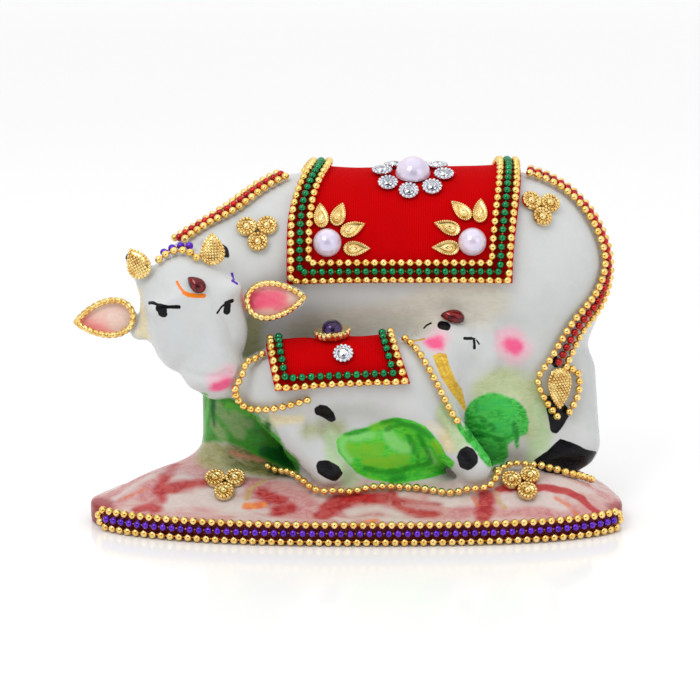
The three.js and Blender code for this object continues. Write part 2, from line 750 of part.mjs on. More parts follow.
function clothGeometry(cloth) {
  const { across, around } = cloth;
  const points = [];
  for (const height of [GLUE_GAP, GLUE_GAP + CLOTH_THICKNESS]) {
    for (let i = 0; i <= across; i += 1) {
      for (let j = 0; j <= around; j += 1) points.push(clothPoint(cloth, i / across, j / around, height));
    }
  }
  const side = (across + 1) * (around + 1);
  const at = (layer, i, j) => layer * side + i * (around + 1) + j;
  const triangles = [];
  const quad = (a, b, c, d) => triangles.push(a, b, c, a, c, d);
  for (let i = 0; i < across; i += 1) {
    for (let j = 0; j < around; j += 1) {
      quad(at(1, i, j), at(1, i, j + 1), at(1, i + 1, j + 1), at(1, i + 1, j));
      quad(at(0, i, j), at(0, i + 1, j), at(0, i + 1, j + 1), at(0, i, j + 1));
    }
  }
  for (let i = 0; i < across; i += 1) {
    quad(at(0, i, 0), at(1, i, 0), at(1, i + 1, 0), at(0, i + 1, 0));
    quad(at(0, i + 1, around), at(1, i + 1, around), at(1, i, around), at(0, i, around));
  }
  for (let j = 0; j < around; j += 1) {
    quad(at(0, 0, j + 1), at(1, 0, j + 1), at(1, 0, j), at(0, 0, j));
    quad(at(0, across, j), at(1, across, j), at(1, across, j + 1), at(0, across, j + 1));
  }
  return closedGeometry(points, triangles);
}

// Strands: a route over the surface, settled at one height, cut into even steps.
function smoothRoute(points, height, step) {
  const curve = new THREE.CatmullRomCurve3(points, false, 'centripetal');
  const steps = Math.max(Math.round(curve.getLength() / step), 2);
  return curve.getSpacedPoints(steps).map((p) => settle(p, height));
}

// Shifts a route sideways over the surface: to the left of its direction, seen from outside.
function besideRoute(route, distance, height) {
  return route.map((p, i) => {
    const after = route[Math.min(i + 1, route.length - 1)];
    const ahead = after.clone().sub(route[Math.max(i - 1, 0)]).normalize();
    const left = new THREE.Vector3().crossVectors(normalAt(p), ahead).normalize();
    return settle(p.clone().addScaledVector(left, distance), height);
  });
}

// A rail round a route through the beads' middles, three-sided in section with a flat underside.
const RAIL_HALF_WIDTH = 0.475 * BEAD;
const RAIL_UNDERSIDE = 0.35 * BEAD;

function railGeometry(route, closed, normals) {
  const points = [];
  const count = route.length;
  route.forEach((p, i) => {
    const before = route[closed ? (i + count - 1) % count : Math.max(i - 1, 0)];
    const after = route[closed ? (i + 1) % count : Math.min(i + 1, count - 1)];
    const ahead = after.clone().sub(before).normalize();
    const out = normals[i].clone().addScaledVector(ahead, -normals[i].dot(ahead)).normalize();
    const left = new THREE.Vector3().crossVectors(out, ahead);
    const under = p.clone().addScaledVector(out, -RAIL_UNDERSIDE);
    points.push(
      under.clone().addScaledVector(left, RAIL_HALF_WIDTH),
      under.clone().addScaledVector(left, -RAIL_HALF_WIDTH),
      p.clone().addScaledVector(out, BEAD / 2),
    );
  });
  const triangles = [];
  const last = closed ? count : count - 1;
  for (let i = 0; i < last; i += 1) {
    const a = 3 * i;
    const b = 3 * ((i + 1) % count);
    for (let k = 0; k < 3; k += 1) {
      const next = (k + 1) % 3;
      triangles.push(a + k, b + k, b + next, a + k, b + next, a + next);
    }
  }
  if (!closed) {
    const end = 3 * (count - 1);
    triangles.push(0, 1, 2, end, end + 2, end + 1);
  }
  return closedGeometry(points, triangles);
}

function strandGeometry(route, closed = false) {
  return railGeometry(route, closed, route.map(normalAt));
}

// Even steps from one share to another, without the last.
function stepsFrom(from, to, count) {
  return Array.from({ length: count }, (_, i) => from + (to - from) * i / count);
}

// A row of beads a given distance in from a cloth's edges: up one end, along the front hem and up the
// other end, or right round where the back hem has a row too. Steps along a straight hem are longer.
const HEM_STEP_SHARE = 1.3;

// The cloth's length round the animal, from its front hem's own curve.
function turnLengthOf(cloth, height) {
  return clothPoint(cloth, 0.5, 0, height).distanceTo(clothPoint(cloth, 0.5, 0.1, height)) * 10;
}

function hemRoute(cloth, inset, height, step, closed) {
  const turnLength = turnLengthOf(cloth, height);
  const u = inset / cloth.length;
  const v = inset / turnLength;
  const far = closed ? 1 - v : (cloth.frontDeg + cloth.rowsBackDeg) / (cloth.frontDeg + cloth.backDeg);
  const acrossSteps = Math.round(cloth.length / step / HEM_STEP_SHARE);
  const aroundSteps = Math.round(turnLength / step);
  const route = [
    ...stepsFrom(far, v, aroundSteps).map((turn) => [u, turn]),
    ...stepsFrom(u, 1 - u, acrossSteps).map((along) => [along, v]),
    ...stepsFrom(v, far, aroundSteps).map((turn) => [1 - u, turn]),
    ...(closed ? stepsFrom(1 - u, u, acrossSteps).map((along) => [along, far]) : [[1 - u, far]]),
  ];
  return route.map(([along, turn]) => clothPoint(cloth, along, turn, height));
}

const ON_BODY = GLUE_GAP;
const ON_CLOTH = GLUE_GAP + CLOTH_THICKNESS + TRIM_GAP;
const BEADS_ON_BODY = ON_BODY + BEAD / 2;
const BEADS_ON_CLOTH = ON_CLOTH + BEAD / 2;

// Sets a small piece down: its +Z turned to the surface's normal, or to the way it faces where that is
// given, and its +Y to the way it points. It then moves out until its lowest corner is at the height.
const UPWARDS = new THREE.Vector3(0, 0, 1);

function seat(geometry, spot, height, points = UPWARDS, facing = null) {
  const place = facing ? spot.clone() : settle(spot, height);
  const out = (facing || normalAt(place)).clone().normalize();
  const up = points.clone().addScaledVector(out, -points.dot(out)).normalize();
  const side = new THREE.Vector3().crossVectors(up, out);
  const laid = geometry.clone().applyMatrix4(new THREE.Matrix4().makeBasis(side, up, out));
  const corners = cornersOf(laid);
  for (let turn = 0; turn < 4; turn += 1) {
    const lowest = Math.min(...corners.map((corner) => castDistance(corner.clone().add(place))));
    place.addScaledVector(out, height - lowest);
  }
  return { geometry: laid, place };
}

// Small pieces, each drawn on its own flat back at Z = 0.
function turned(profile, sides) {
  const lathe = new THREE.LatheGeometry(profile.map(([r, z]) => new THREE.Vector2(r, z)), sides);
  return welded(cornersOf(lathe.rotateX(Math.PI / 2)));
}

function domeGeometry(diameter, heightShare, sides, rings) {
  const profile = [[0, 0]];
  for (let i = 0; i <= rings; i += 1) {
    const angle = i / rings * Math.PI / 2;
    profile.push([diameter / 2 * Math.cos(angle), diameter * heightShare * Math.sin(angle)]);
  }
  profile[profile.length - 1][0] = 0;
  return turned(profile, sides);
}

// A cut stone: an upright girdle, and a flat table above sloping sides.
const GIRDLE_SHARE = 0.45;
const TABLE_SHARE = 0.55;

function stoneGeometry(diameter, height, sides) {
  const r = diameter / 2;
  return turned([[0, 0], [r, 0], [r, height * GIRDLE_SHARE], [r * TABLE_SHARE, height], [0, height]], sides);
}

// A drop's outline: round below, drawn out to a tip at +Y. The fullness brings it to its stated width.
const DROP_TAPER = 0.75;
const DROP_FULLNESS = 1.12;

function dropOutline(long, wide, count) {
  const points = [];
  for (let i = 0; i < count; i += 1) {
    const t = i / count * 2 * Math.PI;
    const pinch = Math.abs(Math.sin(t / 2)) ** DROP_TAPER;
    points.push(new THREE.Vector2(wide / 2 * DROP_FULLNESS * Math.sin(t) * pinch, long / 2 * Math.cos(t)));
  }
  return points;
}

// A drop with a flat back, an upright edge and a front that slopes to its middle, in one step or two.
const DROP_EDGE_SHARE = 0.4;
const DROP_STEP_SHARE = 0.55;
const DROP_STEP_HEIGHT_SHARE = 0.83;

function dropGeometry(long, wide, height, count, stepped = true) {
  const outline = dropOutline(long, wide, count);
  const profile = [[1, 0], [1, DROP_EDGE_SHARE * height]];
  if (stepped) profile.push([DROP_STEP_SHARE, DROP_STEP_HEIGHT_SHARE * height]);
  const ringOf = ([size, z]) => outline.map((p) => new THREE.Vector3(p.x * size, p.y * size, z));
  const points = profile.flatMap(ringOf);
  const rings = profile.length;
  points.push(new THREE.Vector3(0, 0, 0), new THREE.Vector3(0, 0, height));
  const [back, front] = [points.length - 2, points.length - 1];
  const triangles = [];
  for (let i = 0; i < count; i += 1) {
    const next = (i + 1) % count;
    triangles.push(back, i, next);
    for (let r = 0; r < rings - 1; r += 1) {
      const a = r * count;
      const b = a + count;
      triangles.push(a + i, b + i, b + next, a + i, b + next, a + next);
    }
    const top = (rings - 1) * count;
    triangles.push(front, top + next, top + i);
  }
  return closedGeometry(points, triangles);
}

// A drop-shaped ring of twisted wire, four-sided in section. Its inside is cut back further at the tip.
const RING_TIP_SHARE = 1.3;

function dropRingGeometry(long, wide, thick, count) {
  const half = thick / 2;
  const outer = dropOutline(long, wide, count);
  const middle = dropOutline(long - RING_TIP_SHARE * thick, wide - thick, count);
  const inner = dropOutline(long - 2 * RING_TIP_SHARE * thick, wide - 2 * thick, count);
  const points = [];
  for (let i = 0; i < count; i += 1) {
    points.push(
      new THREE.Vector3(outer[i].x, outer[i].y, half),
      new THREE.Vector3(middle[i].x, middle[i].y, thick),
      new THREE.Vector3(inner[i].x, inner[i].y, half),
      new THREE.Vector3(middle[i].x, middle[i].y, 0),
    );
  }
  const triangles = [];
  for (let i = 0; i < count; i += 1) {
    const a = 4 * i;
    const b = 4 * ((i + 1) % count);
    for (let k = 0; k < 4; k += 1) {
      const next = (k + 1) % 4;
      triangles.push(a + k, b + k, b + next, a + k, b + next, a + next);
    }
  }
  return closedGeometry(points, triangles);
}

// Three studs round a common middle, as one plate with three lobes. Each lobe shows part of its circle.
const LOBES = 3;
const LOBE_POINTS = 5;
const LOBE_ARC = 1.3 * Math.PI;

function trefoilGeometry() {
  const points = [];
  for (let lobe = 0; lobe < LOBES; lobe += 1) {
    const middle = Math.PI / 2 + lobe / LOBES * 2 * Math.PI;
    for (let i = 0; i < LOBE_POINTS; i += 1) {
      const angle = middle + (i / (LOBE_POINTS - 1) - 0.5) * LOBE_ARC;
      points.push(new THREE.Vector2(
        TREFOIL_SPREAD * Math.cos(middle) + TREFOIL_STUD / 2 * Math.cos(angle),
        TREFOIL_SPREAD * Math.sin(middle) + TREFOIL_STUD / 2 * Math.sin(angle),
      ));
    }
  }
  const shape = new THREE.Shape(points);
  const plate = new THREE.ExtrudeGeometry(shape, { depth: TREFOIL_HEIGHT, bevelEnabled: false });
  return welded(cornersOf(plate));
}

// Everything is set down round the base's own middle, and moved at the end to stand over the origin.
const figure = new THREE.Group();

const LOOKS = {
  cast: new THREE.MeshStandardMaterial({ color: 0xf2f1ec, roughness: 0.3 }),
  velvet: new THREE.MeshStandardMaterial({ color: 0xd4060a, roughness: 0.95 }),
  gold: new THREE.MeshStandardMaterial({ color: 0xd9a63a, roughness: 0.3, metalness: 1 }),
  green: new THREE.MeshStandardMaterial({ color: 0x0d8a52, roughness: 0.3, metalness: 0.8 }),
  purple: new THREE.MeshStandardMaterial({ color: 0x4b1fa0, roughness: 0.3, metalness: 0.8 }),
  red: new THREE.MeshStandardMaterial({ color: 0xa3141a, roughness: 0.3, metalness: 0.8 }),
  pearl: new THREE.MeshStandardMaterial({ color: 0xe9dcf2, roughness: 0.25 }),
  silver: new THREE.MeshStandardMaterial({ color: 0xd4d7da, roughness: 0.2, metalness: 1 }),
  garnet: new THREE.MeshStandardMaterial({ color: 0x8c0d18, roughness: 0.1 }),
};

function addPiece(name, geometry, look, place = new THREE.Vector3()) {
  const mesh = new THREE.Mesh(geometry, look.clone());
  mesh.name = name;
  mesh.position.copy(place);
  figure.add(mesh);
}

function addSeated(name, look, seated) {
  addPiece(name, seated.geometry, look, seated.place);
}

addPiece('statue', castGeometry(), LOOKS.cast);
addPiece('cow_cloth', clothGeometry(cowCloth), LOOKS.velvet);
addPiece('calf_cloth', clothGeometry(calfCloth), LOOKS.velvet);

// Hem rows round both cloths, from the outermost in.
const cowHems = { outer_gold: LOOKS.gold, green: LOOKS.green, inner_gold: LOOKS.gold };
Object.entries(cowHems).forEach(([row, look], i) => {
  const route = hemRoute(cowCloth, COW_CLOTH_MARGIN + i * ROW_PITCH, BEADS_ON_CLOTH, LONG_STEP, true);
  addPiece(`cow_hem_${row}`, strandGeometry(route, true), look);
});
const calfHems = { gold: LOOKS.gold, green: LOOKS.green };
Object.entries(calfHems).forEach(([row, look], i) => {
  const route = hemRoute(calfCloth, CALF_CLOTH_MARGIN + i * ROW_PITCH, BEADS_ON_CLOTH, SHORT_STEP, false);
  addPiece(`calf_hem_${row}`, strandGeometry(route), look);
});

// Three rows along the neck: the near one is led by hand, the others keep beside it.
const neckRoute = [
  share(-46, -14.6, 81.5), share(-39.8, -9.3, 85.2), share(-32.3, -6, 88.7), share(-24.8, -0.7, 93.6),
  share(-18.4, 2.6, 96.9),
];
const neckNear = smoothRoute(neckRoute, BEADS_ON_BODY, LONG_STEP);
const neckRed = besideRoute(neckNear, SPINE_ROW_PITCH, BEADS_ON_BODY);
const neckFar = besideRoute(neckNear, 2 * SPINE_ROW_PITCH, BEADS_ON_BODY);
addPiece('neck_gold_near', strandGeometry(neckNear), LOOKS.gold);
addPiece('neck_red', strandGeometry(neckRed), LOOKS.red);
addPiece('neck_gold_far', strandGeometry(neckFar), LOOKS.gold);

// Three rows down the tail, from the cloth's edge. The gold ones run on round the pad at its end.
const cowClothEnd = cowCloth.start + COW_CLOTH_LENGTH;
const cowClothTopEnd = cowClothEnd + cowCloth.endLean.by;
const tailRoute = [
  share(0, 5, 96.2).setX(cowClothTopEnd + BESIDE_CLOTH_GAP), share(61.3, 4.2, 92.1),
  share(69.3, 2.2, 83.7), share(72.8, 0.5, 73.5), share(70.8, -3, 66.5), share(63.2, -9.4, 57.8),
  share(57.2, -10.9, 47.4),
];
const padSpot = share(60, -9.6, 37.8);
const besidePad = TAIL_PAD_WIDTH / 2 + PAD_LOOP_GAP + BEAD / 2;
const belowPad = TAIL_PAD_LENGTH / 2 + PAD_LOOP_GAP + BEAD / 2;
const roundPad = (across, up) => padSpot.clone().add(new THREE.Vector3(across * besidePad, 0, up * belowPad));
const padLoopNear = [roundPad(-1.09, 0.42), roundPad(-0.77, -0.37), roundPad(-0.12, -0.98)];
const padLoopFar = [roundPad(1.13, 0.5), roundPad(1.1, -0.16), roundPad(0.53, -0.85)];
const tailLead = smoothRoute(tailRoute, BEADS_ON_BODY, LONG_STEP);
const tailNear = smoothRoute([...tailRoute, ...padLoopNear], BEADS_ON_BODY, LONG_STEP);
const tailRed = besideRoute(tailLead, SPINE_ROW_PITCH, BEADS_ON_BODY);
const tailFar = [
  ...besideRoute(tailLead, 2 * SPINE_ROW_PITCH, BEADS_ON_BODY),
  ...padLoopFar.map((p) => settle(p, BEADS_ON_BODY)),
];
addPiece('tail_gold_near', strandGeometry(tailNear), LOOKS.gold);
addPiece('tail_red', strandGeometry(tailRed), LOOKS.red);
addPiece('tail_gold_far', strandGeometry(tailFar), LOOKS.gold);

// Single strands, each led by hand.
const goldStrands = {
  crown_gold: [
    share(-52.6, -24.2, 77.4), share(-49.6, -22, 79), share(-45.4, -23, 79.4),
    share(-42.4, -25.4, 78.2),
  ],
  calf_rump_strand: [
    share(-24.6, -26.2, 52.1), share(-29.6, -29.9, 48.7), share(-32, -30.9, 43), share(-29.4, -28, 37.2),
    share(-23.3, -30.2, 37), share(-12, -30.4, 39.7),
  ],
  calf_neck_strand: [
    share(15.4, -22.9, 55), share(17.8, -25.4, 52.8), share(21.4, -28.4, 48.2), share(25, -28, 41),
    share(29.6, -26.9, 32.5),
  ],
  ground_strand: [
    share(-23.5, -15.5, 15.6), share(-17, -20, 14.9), share(-9, -26.5, 13.6), share(-2, -28.6, 12.8),
    share(6.2, -26, 13), share(18, -26, 12.8), share(30, -28.4, 12.8), share(38.5, -25, 14),
    share(42, -17.5, 14.6), share(46.5, -12.2, 14.8), share(53.5, -12, 15), share(61.5, -15.6, 13.4),
    share(70.5, -8.6, 11.5),
  ],
};
const crownPurple = [share(-51.5, -20, 78.6), share(-48.4, -18.8, 79.8), share(-44.6, -20, 80.4)];
for (const [name, points] of Object.entries(goldStrands)) {
  addPiece(name, strandGeometry(smoothRoute(points, BEADS_ON_BODY, SHORT_STEP)), LOOKS.gold);
}
addPiece('crown_purple', strandGeometry(smoothRoute(crownPurple, BEADS_ON_BODY, SHORT_STEP)), LOOKS.purple);

// A bead's middle in front of the rim, at an angle round the base's middle.
function rimPoint(angleDeg) {
  const angle = THREE.MathUtils.degToRad(angleDeg);
  const p = new THREE.Vector3(BASE_MIDDLE_X, BASE_WIDEST_Y, 0);
  const way = new THREE.Vector3(Math.cos(angle), Math.sin(angle), 0);
  for (let step = 0; step < 60; step += 1) {
    p.addScaledVector(way, (BEADS_ON_BODY - outlineDistance(p.x, p.y)) * 0.9);
  }
  return p;
}

function rimNormal(p) {
  const step = 0.01;
  const dx = outlineDistance(p.x + step, p.y) - outlineDistance(p.x - step, p.y);
  const dy = outlineDistance(p.x, p.y + step) - outlineDistance(p.x, p.y - step);
  return new THREE.Vector3(dx, dy, 0).normalize();
}

const rimAngles = [...stepsFrom(RIM_ROWS_FROM_DEG, RIM_ROWS_TO_DEG, 2 * RIM_STEPS), RIM_ROWS_TO_DEG];
const rimCurve = new THREE.CatmullRomCurve3(rimAngles.map(rimPoint));
const rimTurn = ROW_PITCH / rimCurve.getLength();
const rimRowZ = (row) => RIM_ROWS_LIFT + BEAD / 2 + row * ROW_PITCH;

// Points along one row of the rim, even in length between two shares of it.
function rimRow(from, to, row) {
  return [...stepsFrom(from, to, RIM_STEPS), to].map((t) => rimCurve.getPointAt(t).setZ(rimRowZ(row)));
}

// Gold runs above and below and is joined at both ends, round a purple row.
const rimLoop = [
  ...rimRow(rimTurn, 1 - rimTurn, 2),
  rimCurve.getPointAt(1).setZ(rimRowZ(1)),
  ...rimRow(1 - rimTurn, rimTurn, 0),
  rimCurve.getPointAt(0).setZ(rimRowZ(1)),
];
const rimMiddle = rimRow(1.6 * rimTurn, 1 - 1.6 * rimTurn, 1);
addPiece('base_gold', railGeometry(rimLoop, true, rimLoop.map(rimNormal)), LOOKS.gold);
addPiece('base_purple', railGeometry(rimMiddle, false, rimMiddle.map(rimNormal)), LOOKS.purple);

// Pearls on the cow's cloth, one on the back and one in each bow of drops.
const topOfCloth = clothPoint(cowCloth, 0.5, 0.42, ON_CLOTH);
const topPearl = domeGeometry(TOP_PEARL, PEARL_HEIGHT_SHARE, 10, 3);
addSeated('top_pearl', LOOKS.pearl, seat(topPearl, topOfCloth, ON_CLOTH));

// Each drop's middle, in X and Z from its bow's pearl, and the way its tip points.
const dropBows = {
  left: {
    pearlX: cowCloth.start + BOW_INSET,
    drops: [
      { from: [-1.8, 7.2], tip: [-0.05, 1] },
      { from: [3.2, 7.4], tip: [0.35, 0.95] },
      { from: [7.2, 3.5], tip: [0.9, 0.45] },
      { from: [8.3, -1.8], tip: [1, 0.02] },
    ],
  },
  right: {
    pearlX: cowClothEnd - BOW_INSET,
    drops: [
      { from: [2.3, 8.2], tip: [0.03, 1] },
      { from: [-3.2, 8.3], tip: [-0.6, 0.8] },
      { from: [-7.1, 3.9], tip: [-0.93, 0.4] },
      { from: [-7.5, -1.6], tip: [-1, 0.02] },
    ],
  },
};
const innerRow = (COW_CLOTH_MARGIN + 2 * ROW_PITCH) / turnLengthOf(cowCloth, BEADS_ON_CLOTH);
const innerRowZ = clothPoint(cowCloth, 0.5, innerRow, BEADS_ON_CLOTH).z;
const pearlZ = innerRowZ + BEAD / 2 + PEARL_GAP + SIDE_PEARL / 2;
for (const [side, { pearlX, drops }] of Object.entries(dropBows)) {
  const pearl = domeGeometry(SIDE_PEARL, PEARL_HEIGHT_SHARE, 8, 3);
  addSeated(`${side}_pearl`, LOOKS.pearl, seat(pearl, onFlank(pearlX, pearlZ, ON_CLOTH), ON_CLOTH));
  drops.forEach(({ from: [x, z], tip }, i) => {
    const drop = dropGeometry(GOLD_DROP_LENGTH, GOLD_DROP_WIDTH, GOLD_DROP_HEIGHT, 6, false);
    const spot = onFlank(pearlX + x, pearlZ + z, ON_CLOTH);
    const points = new THREE.Vector3(tip[0], 0, tip[1]);
    addSeated(`${side}_drop_${i + 1}`, LOOKS.gold, seat(drop, spot, ON_CLOTH, points));
  });
}

// Silver stones round the pearl on the back, as near as it and their own neighbours let them.
const pearlRing = (TOP_PEARL + SILVER_STONE) / 2 + STONE_RING_GAP;
const neighbourRing = (SILVER_STONE + TRIM_GAP) / 2 / Math.sin(Math.PI / SILVER_STONES);
const stoneRing = Math.max(pearlRing, neighbourRing);
const clothTopNormal = normalAt(settle(topOfCloth, ON_CLOTH));
const ringX = new THREE.Vector3(1, 0, 0).addScaledVector(clothTopNormal, -clothTopNormal.x).normalize();
const ringY = new THREE.Vector3().crossVectors(clothTopNormal, ringX);
for (let i = 0; i < SILVER_STONES; i += 1) {
  const angle = THREE.MathUtils.degToRad(i / SILVER_STONES * 360 + STONE_RING_TURN_DEG);
  const spot = topOfCloth.clone()
    .addScaledVector(ringX, stoneRing * Math.cos(angle))
    .addScaledVector(ringY, stoneRing * Math.sin(angle));
  const stone = stoneGeometry(SILVER_STONE, SILVER_STONE_HEIGHT, 6);
  addSeated(`silver_stone_${i + 1}`, LOOKS.silver, seat(stone, spot, ON_CLOTH));
}

// Stones on the calf's cloth: one on its side, and a taller one in a fluted rim on its back.
const calfSideStone = stoneGeometry(SILVER_STONE, SILVER_STONE_HEIGHT, 8);
const calfSideSpot = clothPoint(calfCloth, 0.57, 0.44, ON_CLOTH);
addSeated('calf_side_stone', LOOKS.silver, seat(calfSideStone, calfSideSpot, ON_CLOTH));
const calfTopHeight = CALF_TOP_RIM_HEIGHT + CALF_TOP_STONE_HEIGHT;
const calfTopStone = turned([
  [0, 0],
  [0.425 * CALF_TOP_RIM, 0],
  [CALF_TOP_RIM / 2, CALF_TOP_RIM_HEIGHT],
  [CALF_TOP_STONE / 2, CALF_TOP_RIM_HEIGHT],
  [CALF_TOP_STONE / 4, calfTopHeight],
  [0, calfTopHeight],
], 8);
const calfTopSpot = clothPoint(calfCloth, 0.52, 0.865, ON_CLOTH);
addSeated('calf_top_stone', LOOKS.gold, seat(calfTopStone, calfTopSpot, ON_CLOTH));

// Stones on both foreheads, and studded pads on the horns and on the tail's end.
const seatedDrops = {
  forehead_stone: {
    look: LOOKS.garnet,
    shape: dropGeometry(FOREHEAD_STONE_LENGTH, FOREHEAD_STONE_WIDTH, FOREHEAD_STONE_HEIGHT, 6),
    spot: share(-42.1, -31.4, 72.2),
    points: new THREE.Vector3(-0.7, 0, 0.7),
  },
  calf_forehead_stone: {
    look: LOOKS.garnet,
    shape: dropGeometry(CALF_FOREHEAD_STONE_LENGTH, CALF_FOREHEAD_STONE_WIDTH, FOREHEAD_STONE_HEIGHT, 6),
    spot: share(28.8, -14, 59),
    points: new THREE.Vector3(-1, 0, 0),
  },
  left_horn_pad: {
    look: LOOKS.gold,
    shape: dropGeometry(HORN_PAD_LENGTH, HORN_PAD_WIDTH, PAD_HEIGHT, 8),
    spot: share(-57.6, -22, 76.4),
    points: new THREE.Vector3(-0.5, 0, 0.86),
    facing: new THREE.Vector3(-0.25, -0.95, 0.2),
  },
  right_horn_pad: {
    look: LOOKS.gold,
    shape: dropGeometry(HORN_PAD_LENGTH, HORN_PAD_WIDTH, PAD_HEIGHT, 8),
    spot: share(-38, -16, 78.3),
    points: new THREE.Vector3(-0.05, 0, 1),
    facing: new THREE.Vector3(0, -0.95, 0.3),
  },
  tail_pad: {
    look: LOOKS.gold,
    shape: dropGeometry(TAIL_PAD_LENGTH, TAIL_PAD_WIDTH, PAD_HEIGHT, 8),
    spot: padSpot,
    points: new THREE.Vector3(0.05, 0, -1),
  },
};
for (const [name, { look, shape, spot, points, facing }] of Object.entries(seatedDrops)) {
  addSeated(name, look, seat(shape, spot, ON_BODY, points, facing));
}

// Rings round the ears.
for (const [side, ear] of Object.entries(EARS)) {
  const ring = dropRingGeometry(EAR_RING_LENGTH, EAR_RING_WIDTH, EAR_RING_THICKNESS, 12);
  const [tip, face] = earFrame(ear);
  addSeated(`${side}_ear_ring`, LOOKS.gold, seat(ring, ear.centre, EAR_RING_GAP, tip, face));
}

// Trefoils on shoulder and rump beside the cloth, and two laid on the ground, each with the way its
// first lobe points.
const trefoilReach = TREFOIL_SPREAD + TREFOIL_STUD / 2;
const trefoils = {
  shoulder_trefoil: {
    spot: onFlank(cowCloth.start - trefoilReach - BESIDE_CLOTH_GAP, length(83.5), ON_BODY),
    points: new THREE.Vector3(0.77, 0, 0.64),
  },
  rump_trefoil: {
    spot: onFlank(cowClothEnd + trefoilReach + BESIDE_CLOTH_GAP, length(89.6), ON_BODY),
    points: new THREE.Vector3(-0.8, 0, 0.6),
  },
  ground_trefoil_left: { spot: share(-35.3, -23, 13), points: new THREE.Vector3(-0.05, -1, 0) },
  ground_trefoil_right: { spot: share(48.6, -23, 12.6), points: new THREE.Vector3(0.35, -1, 0) },
};
for (const [name, { spot, points }] of Object.entries(trefoils)) {
  addSeated(name, LOOKS.gold, seat(trefoilGeometry(), spot, ON_BODY, points));
}

// The origin is under the middle of everything, on the ground.
const outerBox = new THREE.Box3().setFromObject(figure, true);
const middle = outerBox.getCenter(new THREE.Vector3());
figure.position.set(-middle.x, -middle.y, 0);

const kamdhenu = new THREE.Group();
kamdhenu.add(figure);

export default kamdhenu;
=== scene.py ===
"""Kamdhenu cow suckling her calf: the cast figure with its paint, velvet, beads, pearls and stones.

Figure places are in millimetres round the base's own middle, +X to the cow's tail, -Y to the decorated
front, +Z up. They become metres in the row's frame when a mesh is made.
"""
import math

import bpy
import numpy as np
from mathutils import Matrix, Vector


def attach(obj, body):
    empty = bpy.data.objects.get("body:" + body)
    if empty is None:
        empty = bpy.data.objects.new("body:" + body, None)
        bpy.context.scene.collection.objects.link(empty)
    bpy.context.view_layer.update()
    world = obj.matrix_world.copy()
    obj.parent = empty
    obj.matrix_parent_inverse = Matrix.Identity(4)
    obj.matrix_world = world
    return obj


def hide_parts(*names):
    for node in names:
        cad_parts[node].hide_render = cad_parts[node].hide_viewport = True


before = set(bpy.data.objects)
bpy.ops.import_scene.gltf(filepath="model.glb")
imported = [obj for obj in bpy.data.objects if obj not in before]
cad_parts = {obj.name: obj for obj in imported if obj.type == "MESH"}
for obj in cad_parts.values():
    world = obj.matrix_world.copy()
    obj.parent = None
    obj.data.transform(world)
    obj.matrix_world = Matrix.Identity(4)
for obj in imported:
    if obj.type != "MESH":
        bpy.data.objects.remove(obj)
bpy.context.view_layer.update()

MM = 0.001
FIGURE_SHIFT = np.array([-0.608, 2.026, 0.0])

# Base: an oval plinth with an upright rim and ground that swells up from it.
BASE_LENGTH = 153
BASE_MIDDLE_X = 1.8
BASE_FRONT_DEPTH = 26.5
BASE_BACK_DEPTH = 48
BASE_WIDEST_Y = -12
RIM_HEIGHT = 6.6
RIM_ROUNDING = 2
GROUND_RISE = 7.3
GROUND_SLOPE_WIDTH = 20
LEFT_END_TAPER = 0.0058
RIGHT_END_TAPER = 0.0022
BACK_LEFT_POWER, BACK_RIGHT_POWER = 2.5, 3.4
FRONT_LEFT_POWER, FRONT_RIGHT_POWER = 2.2, 2.7

# Fits of what is glued on.
GLUE_GAP = 0.55
CLOTH_THICKNESS = 1.1
TRIM_GAP = 0.35
BEAD = 2
BEAD_ROUND = 2.24
BEAD_PITCH = 2.4
HEM_BEAD_PITCH = 2.48
RIM_BEAD_PITCH = 2.64
ROW_PITCH = 2.4
SPINE_ROW_PITCH = 2.8
WIRE = 0.5
ON_BODY = GLUE_GAP
ON_CLOTH = GLUE_GAP + CLOTH_THICKNESS + TRIM_GAP
BEADS_ON_BODY = ON_BODY + BEAD / 2
BEADS_ON_CLOTH = ON_CLOTH + BEAD / 2

# The photo's camera: how far it stands from the middle of the figure, how high it looks from, and its
# focal length in the photo's own pixels.
PHOTO_PX = 700
VIEW_ELEVATION = math.radians(12)
VIEW_DISTANCE = 640
VIEW_FOCUS_PX = 2207
VIEW_TARGET = np.array([0, 0, 47.1])
SENSOR_MM = 36
VIEW_REACH = 110
RAY_STEPS = 160
RAY_CARE = 0.7


def unit(v):
    v = np.asarray(v, float)
    return v / np.linalg.norm(v, axis=-1, keepdims=True)


def frame_from(across, along):
    """Three unit vectors: across, outwards from the face, and along."""
    side = unit(across)
    down = unit(np.asarray(along) - np.dot(along, side) * side)
    return np.array([side, np.cross(down, side), down])


HEAD_CENTRE = np.array([-43.5, -21.5, 63])
HEAD_FRAME = frame_from([0.93, 0.3, 0.2], [0.31, -0.22, -0.92])


def on_head(across, out, down):
    """A place on the cow's head: across to its left, out from its face, down to its muzzle."""
    return HEAD_CENTRE + np.array([across, out, down]) @ HEAD_FRAME


class Ball:
    """An ellipsoid, blended into what is there already."""

    def __init__(self, centre, half, blend, turned_to=None):
        self.centre, self.half, self.blend = np.asarray(centre, float), half, blend
        self.turned_to = turned_to

    def distance(self, x, y, z):
        q = [x - self.centre[0], y - self.centre[1], z - self.centre[2]]
        if self.turned_to is not None:
            q = [q[0] * row[0] + q[1] * row[1] + q[2] * row[2] for row in self.turned_to]
        near = np.sqrt(sum((a / h) ** 2 for a, h in zip(q, self.half)))
        slope = np.sqrt(sum((a / h**2) ** 2 for a, h in zip(q, self.half)))
        return near * (near - 1) / np.maximum(slope, 1e-9)

    def box(self):
        reach = max(self.half) + self.blend
        return self.centre - reach, self.centre + reach


